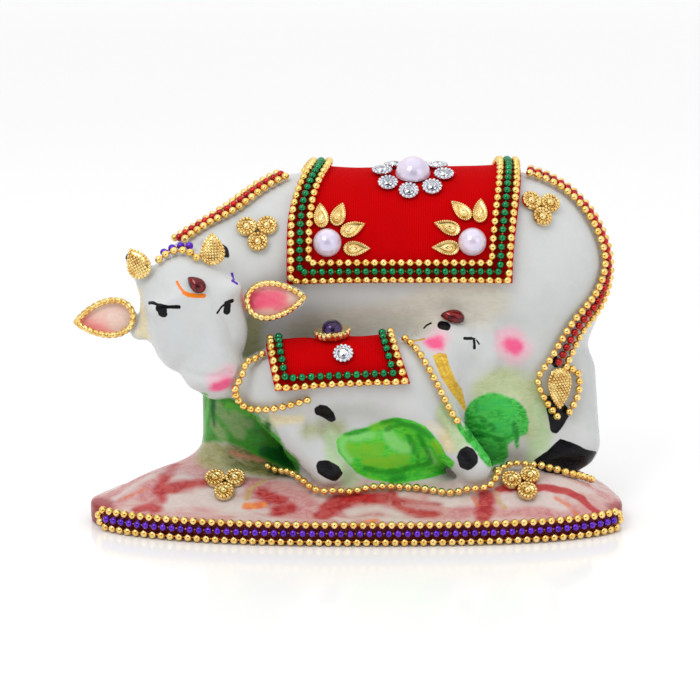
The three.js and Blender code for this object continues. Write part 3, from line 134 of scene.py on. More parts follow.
class Limb:
    """A rounded limb between two places. Along Y it is flattened to a share of its thickness."""

    def __init__(self, start, end, start_radius, end_radius, blend, flat=1):
        self.start, self.end = np.asarray(start, float), np.asarray(end, float)
        self.start_radius, self.end_radius = start_radius, end_radius
        self.blend, self.flat = blend, flat

    def distance(self, x, y, z):
        ax, ay, az = self.end - self.start
        px, py, pz = x - self.start[0], y - self.start[1], z - self.start[2]
        t = np.clip((px * ax + py * ay + pz * az) / (ax * ax + ay * ay + az * az), 0, 1)
        radius = self.start_radius + (self.end_radius - self.start_radius) * t
        across = np.sqrt((px - t * ax) ** 2 + ((py - t * ay) / self.flat) ** 2 + (pz - t * az) ** 2)
        return (across - radius) * math.sqrt(self.flat)

    def box(self):
        reach = max(self.start_radius, self.end_radius) + self.blend
        return np.minimum(self.start, self.end) - reach, np.maximum(self.start, self.end) + reach


COW_BODY = [
    Limb([-5, 10, 70.5], [43, 10, 71.5], 26.4, 26.2, 6, 0.86),
    Ball([48.5, 10, 67.5], [26.5, 21.5, 28], 5),
    Ball([-14, 9, 74], [25, 19, 20.5], 5),
    Limb([-12, 8, 75], [-40, -8, 68], 19, 13, 8),
    Limb([-18, 8, 84], [-46, -12, 73], 10, 7, 6),
]

# The space between the legs is cast solid; the legs stand out from it.
COW_LEGS = [
    Ball([14, 9, 40], [50, 17, 38], 8),
    Limb([-29.5, 1, 56], [-29.5, 2, 10], 13.5, 13.5, 9),
    Limb([-22, 18, 60], [-22, 22, 12], 10, 8, 7),
    Limb([53, 5, 58], [56, 1, 22], 16, 10, 6),
    Limb([62.6, 3, 40], [64.5, 0, 20], 9, 8.5, 3),
    Limb([64, -2, 20], [55.5, -6, 17], 7, 4.5, 3),
    Limb([55, 18, 55], [58, 17, 12], 11, 7.5, 7),
    Ball([46, -6, 49], [6, 5.5, 6], 5),
    Ball([41.5, -6, 29], [11, 8, 13], 6),
]

COW_HEAD = [
    Ball(on_head(-0.6, 0, -3), [13.8, 11, 12], 4, HEAD_FRAME),
    Ball(on_head(0, -1, -10.5), [11.5, 8, 5], 4, HEAD_FRAME),
    Limb(on_head(-10, 0, -11), on_head(-13.5, 1.5, -18.5), 3.5, 1.4, 2),
    Limb(on_head(9.5, 0, -11), on_head(8.5, 1.5, -17.5), 3.5, 1.4, 2),
]
for side in (-1, 1):
    COW_HEAD += [
        Ball(on_head(side * 6.3, -1, 6), [7.2, 9, 10], 4, HEAD_FRAME),
        Ball(on_head(side * 9, 6.4, -2.6), [4.4, 3.4, 2.4], 3, HEAD_FRAME),
        Limb(on_head(side * 11, -4, 0), on_head(side * 16, -4, 1.5), 3.6, 2.2, 4),
    ]
COW_HEAD += [
    Limb(on_head(0, 4.5, -2), on_head(0, 4.8, 13), 6.6, 5.8, 4),
    Ball(on_head(0, 1.5, 17.5), [8.2, 8, 6.2], 3, HEAD_FRAME),
    Ball(on_head(1.8, -1.5, 21.6), [5.8, 6.2, 4.4], 2, HEAD_FRAME),
]


class Ear:
    """A flat leaf: its middle, the way its tip points, and its face's normal."""

    def __init__(self, centre, tip, face):
        self.centre, self.tip = np.asarray(centre, float), unit(tip)
        self.face = unit(np.asarray(face) - np.dot(face, self.tip) * self.tip)
        self.turned_to = np.array([self.tip, self.face, np.cross(self.tip, self.face)])

    def forms(self):
        return [
            Ball(self.centre - self.tip, [7.5, 1.7, 5.3], 1.5, self.turned_to),
            Ball(self.centre + 4 * self.tip, [4.5, 1.4, 3], 1.5, self.turned_to),
        ]


EARS = {
    "left": Ear([-68, -22, 60.6], [-0.99, 0.02, -0.13], [0, -1, 0.25]),
    "right": Ear([-20.6, -19.7, 65.6], [0.99, -0.06, 0.1], [0.1, -1, 0.2]),
}
COW_EARS = [form for ear in EARS.values() for form in ear.forms()]

CALF = [
    Ball([1, -19, 43], [28, 10, 10.4], 3),
    Ball([6, -16, 26], [26, 8.5, 17], 4),
    Ball([-19, -20, 41], [13.5, 10.5, 11], 5),
    Limb([-18, -22, 33], [-6, -24, 18.5], 7, 5.2, 4),
    Ball([16, -19, 42], [11, 10.5, 12], 5),
    Limb([19, -21, 36], [35, -23, 18.5], 7.5, 5, 4),
    Limb([20, -15, 38], [27, -11, 51], 10, 8, 5),
    Limb([27, -11, 51], [32, -11, 51.5], 7.3, 6.3, 3),
    Limb([38, -10, 55], [39, -10, 49], 4, 4.5, 2),
    Ball([33, -9, 41], [9, 7, 12], 5),
]

CAST = COW_BODY + COW_LEGS + COW_HEAD + COW_EARS + CALF


def blend_min(a, b, width):
    h = np.maximum(width - np.abs(a - b), 0) / width
    return np.minimum(a, b) - h * h * width / 4


def outline_distance(x, y):
    """How far a place lies outside the plinth's rounded oval."""
    back, left = y > BASE_WIDEST_Y, x < BASE_MIDDLE_X
    power = np.where(
        back,
        np.where(left, BACK_LEFT_POWER, BACK_RIGHT_POWER),
        np.where(left, FRONT_LEFT_POWER, FRONT_RIGHT_POWER),
    )
    depth = np.where(back, BASE_BACK_DEPTH, BASE_FRONT_DEPTH)
    taper = np.where(left, LEFT_END_TAPER, RIGHT_END_TAPER)
    half = BASE_LENGTH / 2 * np.maximum(1 - taper * np.maximum(y - BASE_WIDEST_Y, 0), 0.2)
    u = np.abs(x - BASE_MIDDLE_X) / half + 1e-6
    v = np.abs(y - BASE_WIDEST_Y) / depth + 1e-6
    reach = (u**power + v**power) ** (1 / power)
    slope_x = reach ** (1 - power) * u ** (power - 1) / half
    slope_y = reach ** (1 - power) * v ** (power - 1) / depth
    return (reach - 1) / np.hypot(slope_x, slope_y)


def ground_distance(x, y, z):
    edge = outline_distance(x, y)
    t = np.clip(-edge / GROUND_SLOPE_WIDTH, 0, 1)
    top = RIM_HEIGHT + GROUND_RISE * t * t * (3 - 2 * t)
    return -blend_min(-edge, top - z, RIM_ROUNDING)


def cast_distance(points, forms=CAST):
    x, y, z = points[..., 0], points[..., 1], points[..., 2]
    d = ground_distance(x, y, z)
    for form in forms:
        d = blend_min(d, form.distance(x, y, z), form.blend)
    return d


SLOPE_STEP = 0.05
SETTLING_TURNS = 8
LEAST_SLOPE = 0.2


def outwards(points):
    slope = np.empty(points.shape)
    for axis in range(3):
        offset = np.zeros(3)
        offset[axis] = SLOPE_STEP
        slope[..., axis] = cast_distance(points + offset) - cast_distance(points - offset)
    return slope / (2 * SLOPE_STEP)


def settle(points, height):
    """Moves points straight out or in until they are at the height above the cast surface."""
    p = np.array(points, float)
    for _ in range(SETTLING_TURNS):
        slope = outwards(p)
        missing = (height - cast_distance(p)) / np.maximum((slope**2).sum(-1), LEAST_SLOPE)
        p += slope * missing[..., None]
    return p


def normal_at(points):
    return unit(outwards(np.asarray(points, float)))


# The photo's camera in the figure's own place, and what it sees at a pixel.
VIEW_FORWARD = np.array([0, math.cos(VIEW_ELEVATION), -math.sin(VIEW_ELEVATION)])
VIEW_UP = np.array([0, math.sin(VIEW_ELEVATION), math.cos(VIEW_ELEVATION)])
VIEW_RIGHT = np.array([1, 0, 0])
VIEW_PLACE = VIEW_TARGET - VIEW_DISTANCE * VIEW_FORWARD


def seen(pixels):
    """The places on the cast surface that the photo shows at these pixels. A pixel that just misses it
    gives the place where its ray comes nearest."""
    pixels = np.atleast_2d(np.asarray(pixels, float)) - PHOTO_PX / 2
    rays = unit(
        VIEW_FORWARD
        + pixels[:, :1] / VIEW_FOCUS_PX * VIEW_RIGHT
        - pixels[:, 1:] / VIEW_FOCUS_PX * VIEW_UP
    )
    reach = np.full(len(rays), float(VIEW_DISTANCE - VIEW_REACH))
    nearest, least = reach, np.full(len(rays), np.inf)
    for _ in range(RAY_STEPS):
        gap = cast_distance(VIEW_PLACE + rays * reach[:, None])
        nearest, least = np.where(gap < least, reach, nearest), np.minimum(gap, least)
        reach = np.minimum(reach + RAY_CARE * np.maximum(gap, 0), VIEW_DISTANCE + VIEW_REACH)
    return VIEW_PLACE + rays * nearest[:, None]


class Parts:
    """What a mesh is gathered from: points, faces of one size, whether they are smooth, and which of the
    piece's finishes they take."""

    def __init__(self):
        self.points, self.faces, self.smooth, self.finish, self.count = [], [], [], [], 0

    def add(self, points, faces, smooth=True, finish=0):
        """faces is one array of triangles or quads, or a list of such arrays."""
        for group in faces if isinstance(faces, list) else [faces]:
            self.faces.append(np.asarray(group) + self.count)
            self.smooth.append(np.full(len(group), smooth))
            self.finish.append(np.full(len(group), finish))
        self.points.append(np.asarray(points, float))
        self.count += len(points)
        return self

    def moved(self, turned_to, place):
        """The same parts with their own X, Y and Z turned to three directions, set down at a place."""
        result = Parts()
        result.faces, result.smooth, result.finish = self.faces, self.smooth, self.finish
        result.points = [points @ np.asarray(turned_to) + place for points in self.points]
        result.count = self.count
        return result

    def join(self, other):
        self.faces += [group + self.count for group in other.faces]
        self.smooth += other.smooth
        self.finish += other.finish
        self.points += other.points
        self.count += other.count
        return self

    def all_points(self):
        return np.concatenate(self.points)


SHARP_EDGE = math.radians(50)


def make_piece(name, parts, materials, slot, replaced, sharp=False):
    """A mesh object in the row's frame, riding on the figure in place of its solids."""
    points = (parts.all_points() + FIGURE_SHIFT) * MM
    sizes = np.concatenate([np.full(len(group), group.shape[1]) for group in parts.faces])
    corners = np.concatenate([group.ravel() for group in parts.faces])
    mesh = bpy.data.meshes.new(name)
    mesh.vertices.add(len(points))
    mesh.vertices.foreach_set("co", points.astype(np.float32).ravel())
    mesh.loops.add(len(corners))
    mesh.loops.foreach_set("vertex_index", corners.astype(np.int32))
    mesh.polygons.add(len(sizes))
    mesh.polygons.foreach_set("loop_start", (np.cumsum(sizes) - sizes).astype(np.int32))
    mesh.polygons.foreach_set("use_smooth", np.concatenate(parts.smooth))
    mesh.update(calc_edges=True)
    for material in materials:
        mesh.materials.append(material)
    mesh.polygons.foreach_set("material_index", np.concatenate(parts.finish).astype(np.int32))
    mesh.validate()
    if sharp:
        mesh.set_sharp_from_angle(angle=SHARP_EDGE)
    piece = bpy.data.objects.new(name, mesh)
    bpy.context.scene.collection.objects.link(piece)
    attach(piece, "root")
    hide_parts(*replaced)
    return piece


# The cast skin, found on a grid whose lines stand closer round the head.
FINE_STEP = 0.72
COARSE_STEP = 1.15
SKIN_ROOM = 3
END_ROOM, DEPTH_ROOM, GRID_TOP = 5, 4, 106
HEAD_SPAN_X, HEAD_SPAN_Y, HEAD_SPAN_Z = (-86, -12), (-44, -2), (40, 90)
FLAT_UNDERSIDE = 1
SNAP_TURNS = 2
SNAP_REACH = 0.5
SNAP_LEAST_SLOPE = 0.3


def grid_line(low, high, fine_low, fine_high):
    """Places from low to high, close together between the two fine ones."""
    places = [low]
    while places[-1] < high:
        fine = fine_low < places[-1] < fine_high
        places.append(places[-1] + (FINE_STEP if fine else COARSE_STEP))
    return np.array(places)


def sample_cast(lines):
    x, y, z = np.ix_(*lines)
    field = ground_distance(x, y, z)
    for form in CAST:
        low, high = form.box()
        near = tuple(
            slice(np.searchsorted(line, a - SKIN_ROOM), np.searchsorted(line, b + SKIN_ROOM))
            for line, a, b in zip(lines, low, high)
        )
        part = np.ix_(*[line[span] for line, span in zip(lines, near)])
        field[near] = blend_min(field[near], form.distance(*part), form.blend)
    return np.maximum(field, -z)


def skin_of(field, lines):
    """One point in each grid cell that the surface crosses, and a face round each crossed grid edge."""
    cells = np.array(field.shape) - 1
    total, count = np.zeros((*cells, 3)), np.zeros(cells)
    crossings = []
    for axis in range(3):
        others = [a for a in range(3) if a != axis]
        low = np.take(field, range(cells[axis]), axis)
        high = np.take(field, range(1, cells[axis] + 1), axis)
        crossed = (low < 0) != (high < 0)
        edges = np.argwhere(crossed)
        places = edges.astype(float)
        places[:, axis] += (low / np.where(crossed, low - high, 1))[crossed]
        around = []
        for step in ((0, 0), (-1, 0), (-1, -1), (0, -1)):
            cell = edges.copy()
            cell[:, others] += step
            np.add.at(total, tuple(cell.T), places)
            np.add.at(count, tuple(cell.T), 1)
            around.append(cell)
        crossings.append((around, (low < 0)[crossed] != (axis == 1)))
    used = count > 0
    names = np.full(cells, -1)
    names[used] = np.arange(used.sum())
    places = total[used] / count[used][:, None]
    points = np.stack([np.interp(places[:, a], np.arange(len(lines[a])), lines[a]) for a in range(3)], 1)
    quads = []
    for around, facing in crossings:
        corners = np.stack([names[tuple(cell.T)] for cell in around], 1)
        corners[~facing] = corners[~facing][:, ::-1]
        quads.append(corners)
    return points, np.concatenate(quads)


# Creases worked into the cast, as pixels of the photo: their route, width and depth.
CREASES = {
    "mouth": ([(187, 371), (196, 375), (208, 377), (220, 376), (232, 373)], 0.9, 0.7),
    "nostril": ([(224, 372.5), (227, 371.5)], 0.6, 0.8),
    "bridge": ([(211, 292), (218, 306), (226, 320), (232, 334)], 1.1, 0.35),
    "hind_leg": ([(268, 417), (278, 420), (290, 420), (300, 418)], 0.9, 0.5),
    "knee": ([(309, 424), (309, 436), (314, 447)], 1.2, 0.5),
    "calf_snout": ([(474, 326), (475, 334), (474, 345)], 0.9, 0.7),
}


def near_route(points, route):
    """Each point's distance from a route of straight pieces."""
    nearest = np.full(len(points), np.inf)
    for start, end in zip(route[:-1], route[1:]):
        ahead = end - start
        t = np.clip((points - start) @ ahead / (ahead @ ahead), 0, 1)
        gap = np.linalg.norm(points - start - t[:, None] * ahead, axis=1)
        nearest = np.minimum(nearest, gap)
    return nearest


def cast_parts():
    """The cast's skin, drawn on to its surface, with the creases worked in."""
    half = BASE_LENGTH / 2 + END_ROOM
    front = BASE_WIDEST_Y - BASE_FRONT_DEPTH - DEPTH_ROOM
    back = BASE_WIDEST_Y + BASE_BACK_DEPTH + DEPTH_ROOM
    lines = [
        grid_line(BASE_MIDDLE_X - half, BASE_MIDDLE_X + half, *HEAD_SPAN_X),
        grid_line(front, back, *HEAD_SPAN_Y),
        grid_line(-COARSE_STEP, GRID_TOP, *HEAD_SPAN_Z),
    ]
    points, quads = skin_of(sample_cast(lines), lines)
    above = points[:, 2] > FLAT_UNDERSIDE
    for _ in range(SNAP_TURNS):
        slope = outwards(points[above])
        gap = cast_distance(points[above]) / np.maximum((slope**2).sum(-1), SNAP_LEAST_SLOPE)
        points[above] -= slope * np.clip(gap, -SNAP_REACH, SNAP_REACH)[:, None]
    normals = normal_at(points)
    for route, width, depth in CREASES.values():
        gap = near_route(points, seen(route))
        touched = gap < 3 * width
        sunk = depth * np.exp(-((gap[touched] / width) ** 2))
        points[touched] -= normals[touched] * sunk[:, None]
    return Parts().add(points, quads)


# Draping: a point of a cloth is found by going out from the animal's long axis at an angle.
LONGEST_REACH = 2
DRAPING_TURNS = 30
EDGE_STEPS = np.array([0, 0.08, 0.3, 0.62, 1])
SLACK, SLACK_REACH = 0.12, 4
HEM_STEPS_ROUND, HEM_STEPS_ACROSS = 240, 140


class Cloth:
    """A sheet laid over the animal, from start on along X. axis is the Y and Z of the line that it hangs
    round, and rise lifts that line. Each lean is how far an end leans out, and how that grows towards the
    top. The degrees are how far the sheet, and its rows at the back, hang down from the top."""

    def __init__(self, under, axis, start, length, start_lean, end_lean, front_deg, back_deg, rows_back_deg,
                 rise):
        self.under, self.axis, self.start, self.length = under, axis, start, length
        self.start_lean, self.end_lean = start_lean, end_lean
        self.front_deg, self.back_deg, self.rows_back_deg = front_deg, back_deg, rows_back_deg
        self.rise = rise

    def point(self, along, turn, height):
        """along runs 0..1 from the first end to the other, turn 0..1 from the front hem over the back."""
        along, turn, height = np.broadcast_arrays(*[np.asarray(a, float) for a in (along, turn, height)])
        angle = np.radians(90 + self.front_deg - turn * (self.front_deg + self.back_deg))
        upness = np.sin(angle)

        def lean(by, power):
            return np.sign(upness) * by * np.abs(upness) ** power

        start = self.start + lean(*self.start_lean)
        end = self.start + self.length + lean(*self.end_lean)
        x = start + (end - start) * along
        axis_z = self.axis[1] + self.rise * (x - self.start)
        p = np.stack([x, np.full(x.shape, float(self.axis[0])), axis_z], -1)
        way = np.stack([np.zeros(x.shape), np.cos(angle), upness], -1)
        for _ in range(DRAPING_TURNS):
            missing = height - cast_distance(p, self.under)
            p += way * np.clip(missing, -LONGEST_REACH, LONGEST_REACH)[..., None]
        return p

    def turn_length(self, height):
        """The cloth's length round the animal, from its front hem's own curve."""
        return 10 * np.linalg.norm(self.point(0.5, 0, height) - self.point(0.5, 0.1, height))

    def hem_route(self, inset, height, closed):
        """A row a distance in from the cloth's edges, in steps finer than a bead."""
        u, v = inset / self.length, inset / self.turn_length(height)
        far = 1 - v if closed else (self.front_deg + self.rows_back_deg) / (self.front_deg + self.back_deg)
        round_it, across = np.linspace(far, v, HEM_STEPS_ROUND), np.linspace(u, 1 - u, HEM_STEPS_ACROSS)
        sides = [
            (np.full(len(round_it), u), round_it),
            (across, np.full(len(across), v)),
            (np.full(len(round_it), 1 - u), round_it[::-1]),
        ]
        if closed:
            sides.append((across[::-1], np.full(len(across), far)))
        along = np.concatenate([a for a, _ in sides])
        turn = np.concatenate([b for _, b in sides])
        return self.point(along, turn, height)


cow_cloth = Cloth(
    COW_BODY + COW_LEGS, (10, 71), -17.8, 63.6, (6, 6), (3.4, 2), 94, 94, 94, 0)
calf_cloth = Cloth(
    COW_BODY + COW_LEGS + CALF, (-19, 43.5), -21, 37.3, (-2.6, 1), (-3.8, 1), 96, 9, -12, 0.05)


def with_fine_ends(count, length):
    """Shares of a length, with a few close together at each end for a rounded edge."""
    edge = CLOTH_THICKNESS / 2 * EDGE_STEPS / length
    middle = np.linspace(edge[-1], 1 - edge[-1], count)
    return np.concatenate([edge[:-1], middle, 1 - edge[-2::-1]])


def cloth_parts(cloth, across, around):
    """The cloth as one closed skin with rounded edges and a little slack along its hems."""
    turn_length = cloth.turn_length(GLUE_GAP)
    u, v = with_fine_ends(across, cloth.length), with_fine_ends(around, turn_length)
    along, turn = np.meshgrid(u, v, indexing="ij")
    half = CLOTH_THICKNESS / 2
    to_edge = np.minimum(
        np.minimum(along, 1 - along) * cloth.length, np.minimum(turn, 1 - turn) * turn_length)
    inset = np.clip(half - to_edge, 0, half)
    bulge = np.sqrt(half**2 - inset**2)
    middle = GLUE_GAP + half
    waves = SLACK * np.sin(along * 23 + 2 * np.sin(turn * 9)) * np.exp(-to_edge / SLACK_REACH)
    top = cloth.point(along, turn, middle + bulge + waves * (bulge > 0.2))
    under = cloth.point(along, turn, middle - bulge)
    nu, nv = along.shape
    name = np.arange(nu * nv).reshape(nu, nv)
    quads = np.stack([name[:-1, :-1], name[1:, :-1], name[1:, 1:], name[:-1, 1:]], -1).reshape(-1, 4)
    rim = np.zeros((nu, nv), bool)
    rim[0], rim[-1], rim[:, 0], rim[:, -1] = True, True, True, True
    inner = ~rim.ravel()
    second = np.arange(nu * nv)
    second[inner] = nu * nv + np.arange(inner.sum())
    points = np.concatenate([top.reshape(-1, 3), under.reshape(-1, 3)[inner]])
    facing_out = quads[:, ::-1] if faces_inwards(points, quads, cloth) else quads
    other_side = second[facing_out][:, ::-1]
    return Parts().add(points, [facing_out, other_side])


def faces_inwards(points, quads, cloth):
    """Whether the middle quad of a cloth's upper side faces the animal's axis."""
    a, b, c, _ = points[quads[len(quads) // 2]]
    from_axis = a - np.array([a[0], *cloth.axis])
    return np.cross(b - a, c - a) @ from_axis < 0


# Routes of the glued rows.
CURVE_STEPS = 40
ROUTE_STEP = 0.6


def smooth_curve(points):
    """A centripetal curve through given points."""
    p = np.asarray(points, float)
    p = np.concatenate([[2 * p[0] - p[1]], p, [2 * p[-1] - p[-2]]])
    curve = []
    for a, b, c, d in zip(p[:-3], p[1:-2], p[2:-1], p[3:]):
        ab, bc, cd = (math.sqrt(np.linalg.norm(y - x)) for x, y in ((a, b), (b, c), (c, d)))
        start = ((b - a) / ab - (c - a) / (ab + bc) + (c - b) / bc) * bc
        end = ((c - b) / bc - (d - b) / (bc + cd) + (d - c) / cd) * bc
        t = np.linspace(0, 1, CURVE_STEPS, endpoint=False)[:, None]
        curve.append(
            b + start * t + (3 * (c - b) - 2 * start - end) * t**2 + (2 * (b - c) + start + end) * t**3)
    return np.concatenate(curve + [p[-2:-1]])


def evenly(route, pitch, closed=False):
    """Points along a route, a pitch apart, adjusted so that they end on its end."""
    if closed:
        route = np.concatenate([route, route[:1]])
    steps = np.concatenate([[0], np.cumsum(np.linalg.norm(np.diff(route, axis=0), axis=1))])
    count = max(round(steps[-1] / pitch), 1)
    wanted = np.linspace(0, steps[-1], count + 1)
    points = np.stack([np.interp(wanted, steps, route[:, axis]) for axis in range(3)], 1)
    return points[:-1] if closed else points


def settled_route(points):
    return settle(evenly(smooth_curve(points), ROUTE_STEP), BEADS_ON_BODY)


def beside(route, distance):
    """A route shifted sideways over the surface: to the left of its direction, seen from outside."""
    after = np.concatenate([route[1:], route[-1:]])
    before = np.concatenate([route[:1], route[:-1]])
    left = unit(np.cross(normal_at(route), unit(after - before)))
    return settle(route + left * distance, BEADS_ON_BODY)


def ico_ball(detail):
    """A ball of near-equal triangles, halved as often as detail says."""
    g = (1 + math.sqrt(5)) / 2
    points = [(-1, g, 0), (1, g, 0), (-1, -g, 0), (1, -g, 0), (0, -1, g), (0, 1, g),
              (0, -1, -g), (0, 1, -g), (g, 0, -1), (g, 0, 1), (-g, 0, -1), (-g, 0, 1)]
    points = [tuple(p) for p in unit(points)]
    faces = [(0, 11, 5), (0, 5, 1), (0, 1, 7), (0, 7, 10), (0, 10, 11), (1, 5, 9), (5, 11, 4),
             (11, 10, 2), (10, 7, 6), (7, 1, 8), (3, 9, 4), (3, 4, 2), (3, 2, 6), (3, 6, 8),
             (3, 8, 9), (4, 9, 5), (2, 4, 11), (6, 2, 10), (8, 6, 7), (9, 8, 1)]
    for _ in range(detail):
        middles, halved = {}, []

        def middle(a, b):
            key = (min(a, b), max(a, b))
            if key not in middles:
                middles[key] = len(points)
                points.append(tuple(unit(np.add(points[a], points[b]))))
            return middles[key]

        for a, b, c in faces:
            ab, bc, ca = middle(a, b), middle(b, c), middle(c, a)
            halved += [(a, ab, ca), (b, bc, ab), (c, ca, bc), (ab, bc, ca)]
        faces = halved
    return np.array(points), np.array(faces)


COARSE, FINE = 1, 2
BALLS = {detail: ico_ball(detail) for detail in (COARSE, FINE)}
WIRE_SIDES = 6


def balls(centres, radii, detail=COARSE):
    points, faces = BALLS[detail]
    centres = np.asarray(centres, float)
    radii = np.broadcast_to(np.asarray(radii, float), len(centres))
    all_points = centres[:, None] + points[None] * radii[:, None, None]
    all_faces = faces[None] + (np.arange(len(centres)) * len(points))[:, None, None]
    return all_points.reshape(-1, 3), all_faces.reshape(-1, 3)


def rods(starts, ends, radius):
    """Short straight wires between places."""
    sides = WIRE_SIDES
    ahead = unit(ends - starts)
    helper = np.where(np.abs(ahead[:, 2:]) < 0.9, [[0, 0, 1]], [[1, 0, 0]])
    left = unit(np.cross(helper, ahead))
    out = np.cross(ahead, left)
    angle = np.arange(sides) / sides * 2 * math.pi
    ring = radius * (np.cos(angle)[:, None] * left[:, None] + np.sin(angle)[:, None] * out[:, None])
    points = np.concatenate([starts[:, None] + ring, ends[:, None] + ring], 1)
    a = np.arange(sides)
    b = (a + 1) % sides
    side_quads = np.stack([a, b, b + sides, a + sides], 1)
    firsts = (np.arange(len(starts)) * 2 * sides)[:, None, None]
    caps = np.stack([a[::-1], a + sides])
    return points.reshape(-1, 3), [(side_quads[None] + firsts).reshape(-1, 4),
                                   (caps[None] + firsts).reshape(-1, sides)]


def bead_parts(route, closed=False, pitch=BEAD_PITCH):
    """Balls a bead's pitch apart along a route, with the short wires that show between them."""
    centres = evenly(route, pitch, closed)
    starts, ends = (centres, np.roll(centres, -1, axis=0)) if closed else (centres[:-1], centres[1:])
    beads = Parts().add(*balls(centres, BEAD_ROUND / 2, FINE))
    return beads.add(*rods(starts, ends, WIRE / 2), finish=1)


# Small pieces, each drawn on its own flat back at Z = 0.
def lathe(profile, sides, flutes=None):
    """A profile of radius and height turned round Z, closed at both ends. flutes scales the radius."""
    angle = np.arange(sides) / sides * 2 * math.pi
    rings, points = [], []
    for radius, z in profile:
        if radius == 0:
            rings.append(np.full(sides, len(points)))
            points.append((0, 0, z))
            continue
        rings.append(len(points) + np.arange(sides))
        swell = 1 if flutes is None else flutes(angle)
        for x, y in zip(radius * swell * np.cos(angle), radius * swell * np.sin(angle)):
            points.append((x, y, z))
    return np.array(points), ring_faces(rings)


def ring_faces(rings):
    """Faces between rings of named points, where a ring may be a single point repeated."""
    triangles, quads = [], []
    for low, high in zip(rings[:-1], rings[1:]):
        after_low, after_high = np.roll(low, -1), np.roll(high, -1)
        if low[0] == low[1]:
            triangles.append(np.stack([low, after_high, high], 1))
        elif high[0] == high[1]:
            triangles.append(np.stack([low, after_low, high], 1))
        else:
            quads.append(np.stack([low, after_low, after_high, high], 1))
    faces = []
    if triangles:
        faces.append(np.concatenate(triangles))
    if quads:
        faces.append(np.concatenate(quads))
    return faces


DROP_TAPER = 0.75
DROP_FULLNESS = 1.12
DROP_MIDDLE = -0.16
DROP_CORNERS = 48
DROP_ROUTE_STEPS = 200


def drop_outline(long, wide, count):
    """Round below, drawn out to a tip at +Y."""
    t = np.arange(count) / count * 2 * math.pi
    pinch = np.abs(np.sin(t / 2)) ** DROP_TAPER
    x = wide / 2 * DROP_FULLNESS * np.sin(t) * pinch
    return np.stack([x, long / 2 * np.cos(t), np.zeros(count)], 1)


def drop_shell(long, wide, profile):
    """Rings of a drop's outline, each a share of its size at a height, drawn in to one middle."""
    outline = drop_outline(long, wide, DROP_CORNERS)[::-1]
    middle = np.array([0, DROP_MIDDLE * long, 0])
    rings, points = [], []
    for size, z in profile:
        lift = np.array([0, 0, z])
        if size == 0:
            rings.append(np.full(DROP_CORNERS, len(points)))
            points.append(middle + lift)
            continue
        rings.append(len(points) + np.arange(DROP_CORNERS))
        points += list(middle * (1 - size) + outline * size + lift)
    return np.array(points), ring_faces(rings)


def row_on_outline(long, wide, size, pitch, z):
    """Places a pitch apart along a drop's outline drawn in to a share of its size."""
    outline = evenly(drop_outline(long, wide, DROP_ROUTE_STEPS), pitch / size, closed=True)
    middle = np.array([0, DROP_MIDDLE * long, 0])
    return middle * (1 - size) + outline * size + np.array([0, 0, z])


SEATING_TURNS = 4


def seated(parts, spot, height, points_to=(0, 0, 1), facing=None):
    """Sets a small piece down: its +Z turned out of the surface, or to the way it faces where that is
    given, and its +Y to the way it points. It moves out until its lowest point is at the height."""
    place = settle(np.atleast_2d(spot), height)[0] if facing is None else np.asarray(spot, float)
    out = unit(normal_at(place) if facing is None else facing)
    up = unit(np.asarray(points_to) - np.dot(points_to, out) * out)
    turned_to = np.array([np.cross(up, out), up, out])
    laid = parts.moved(turned_to, np.zeros(3)).all_points()
    for _ in range(SEATING_TURNS):
        place = place + out * (height - cast_distance(laid + place).min())
    return parts.moved(turned_to, place)


PEARL_RINGS = 18
PEARL_SIDES = 56


def pearl_parts(diameter):
    """A half pearl with a flat back."""
    angles = np.linspace(0, math.pi / 2, PEARL_RINGS)
    dome = [(diameter / 2 * math.cos(a), diameter / 2 * math.sin(a)) for a in angles[:-1]]
    return Parts().add(*lathe([(0, 0), *dome, (0, diameter / 2)], PEARL_SIDES))


def ring_of_balls(radius, count, ball_radius, z, detail):
    angle = np.arange(count) / count * 2 * math.pi
    places = np.stack([radius * np.cos(angle), radius * np.sin(angle), np.full(count, z)], 1)
    return balls(places, ball_radius, detail)


def cut_stone(outline, height, sizes, heights):
    """A faceted stone over an outline: each size is a ring, its height a share of the stone's."""
    count = len(outline)
    rings = [np.full(count, 0)]
    points = [np.zeros(3)]
    for i, (size, z) in enumerate(zip(sizes, heights)):
        rings.append(len(points) + np.arange(count))
        turned = outline if i % 2 == 0 else (outline + np.roll(outline, -1, axis=0)) / 2
        points += list(turned * size + np.array([0, 0, z * height]))
    rings.append(np.full(count, len(points)))
    points.append(np.array([0, 0, heights[-1] * height]))
    return np.array(points), ring_faces(rings)


def round_outline(radius, count):
    angle = np.arange(count) / count * 2 * math.pi
    return np.stack([radius * np.cos(angle), radius * np.sin(angle), np.zeros(count)], 1)


SILVER_STONE = 6
SILVER_STONE_HEIGHT = 1.6
SILVER_CUP_SIDES = 42
SILVER_RIM_BEADS = 14


def silver_stone_parts():
    """A clear cut stone in a cup whose scalloped rim is beaded."""
    r = SILVER_STONE / 2
    cup = [(0, 0), (r * 0.8, 0), (r * 0.9, 0.5), (r * 0.86, 0.8), (r * 0.62, 0.75), (0, 0.6)]
    parts = Parts().add(*lathe(cup, SILVER_CUP_SIDES))
    parts.add(*ring_of_balls(r * 0.82, SILVER_RIM_BEADS, r * 0.175, 0.75, FINE))
    girdle = round_outline(r * 0.6, 10)
    stone = cut_stone(girdle, SILVER_STONE_HEIGHT, (1, 1, 0.82, 0.5), (0.4, 0.6, 0.82, 1))
    return parts.add(*stone, smooth=False, finish=1)


GOLD_DROP_LENGTH = 8
GOLD_DROP_WIDTH = 4.8


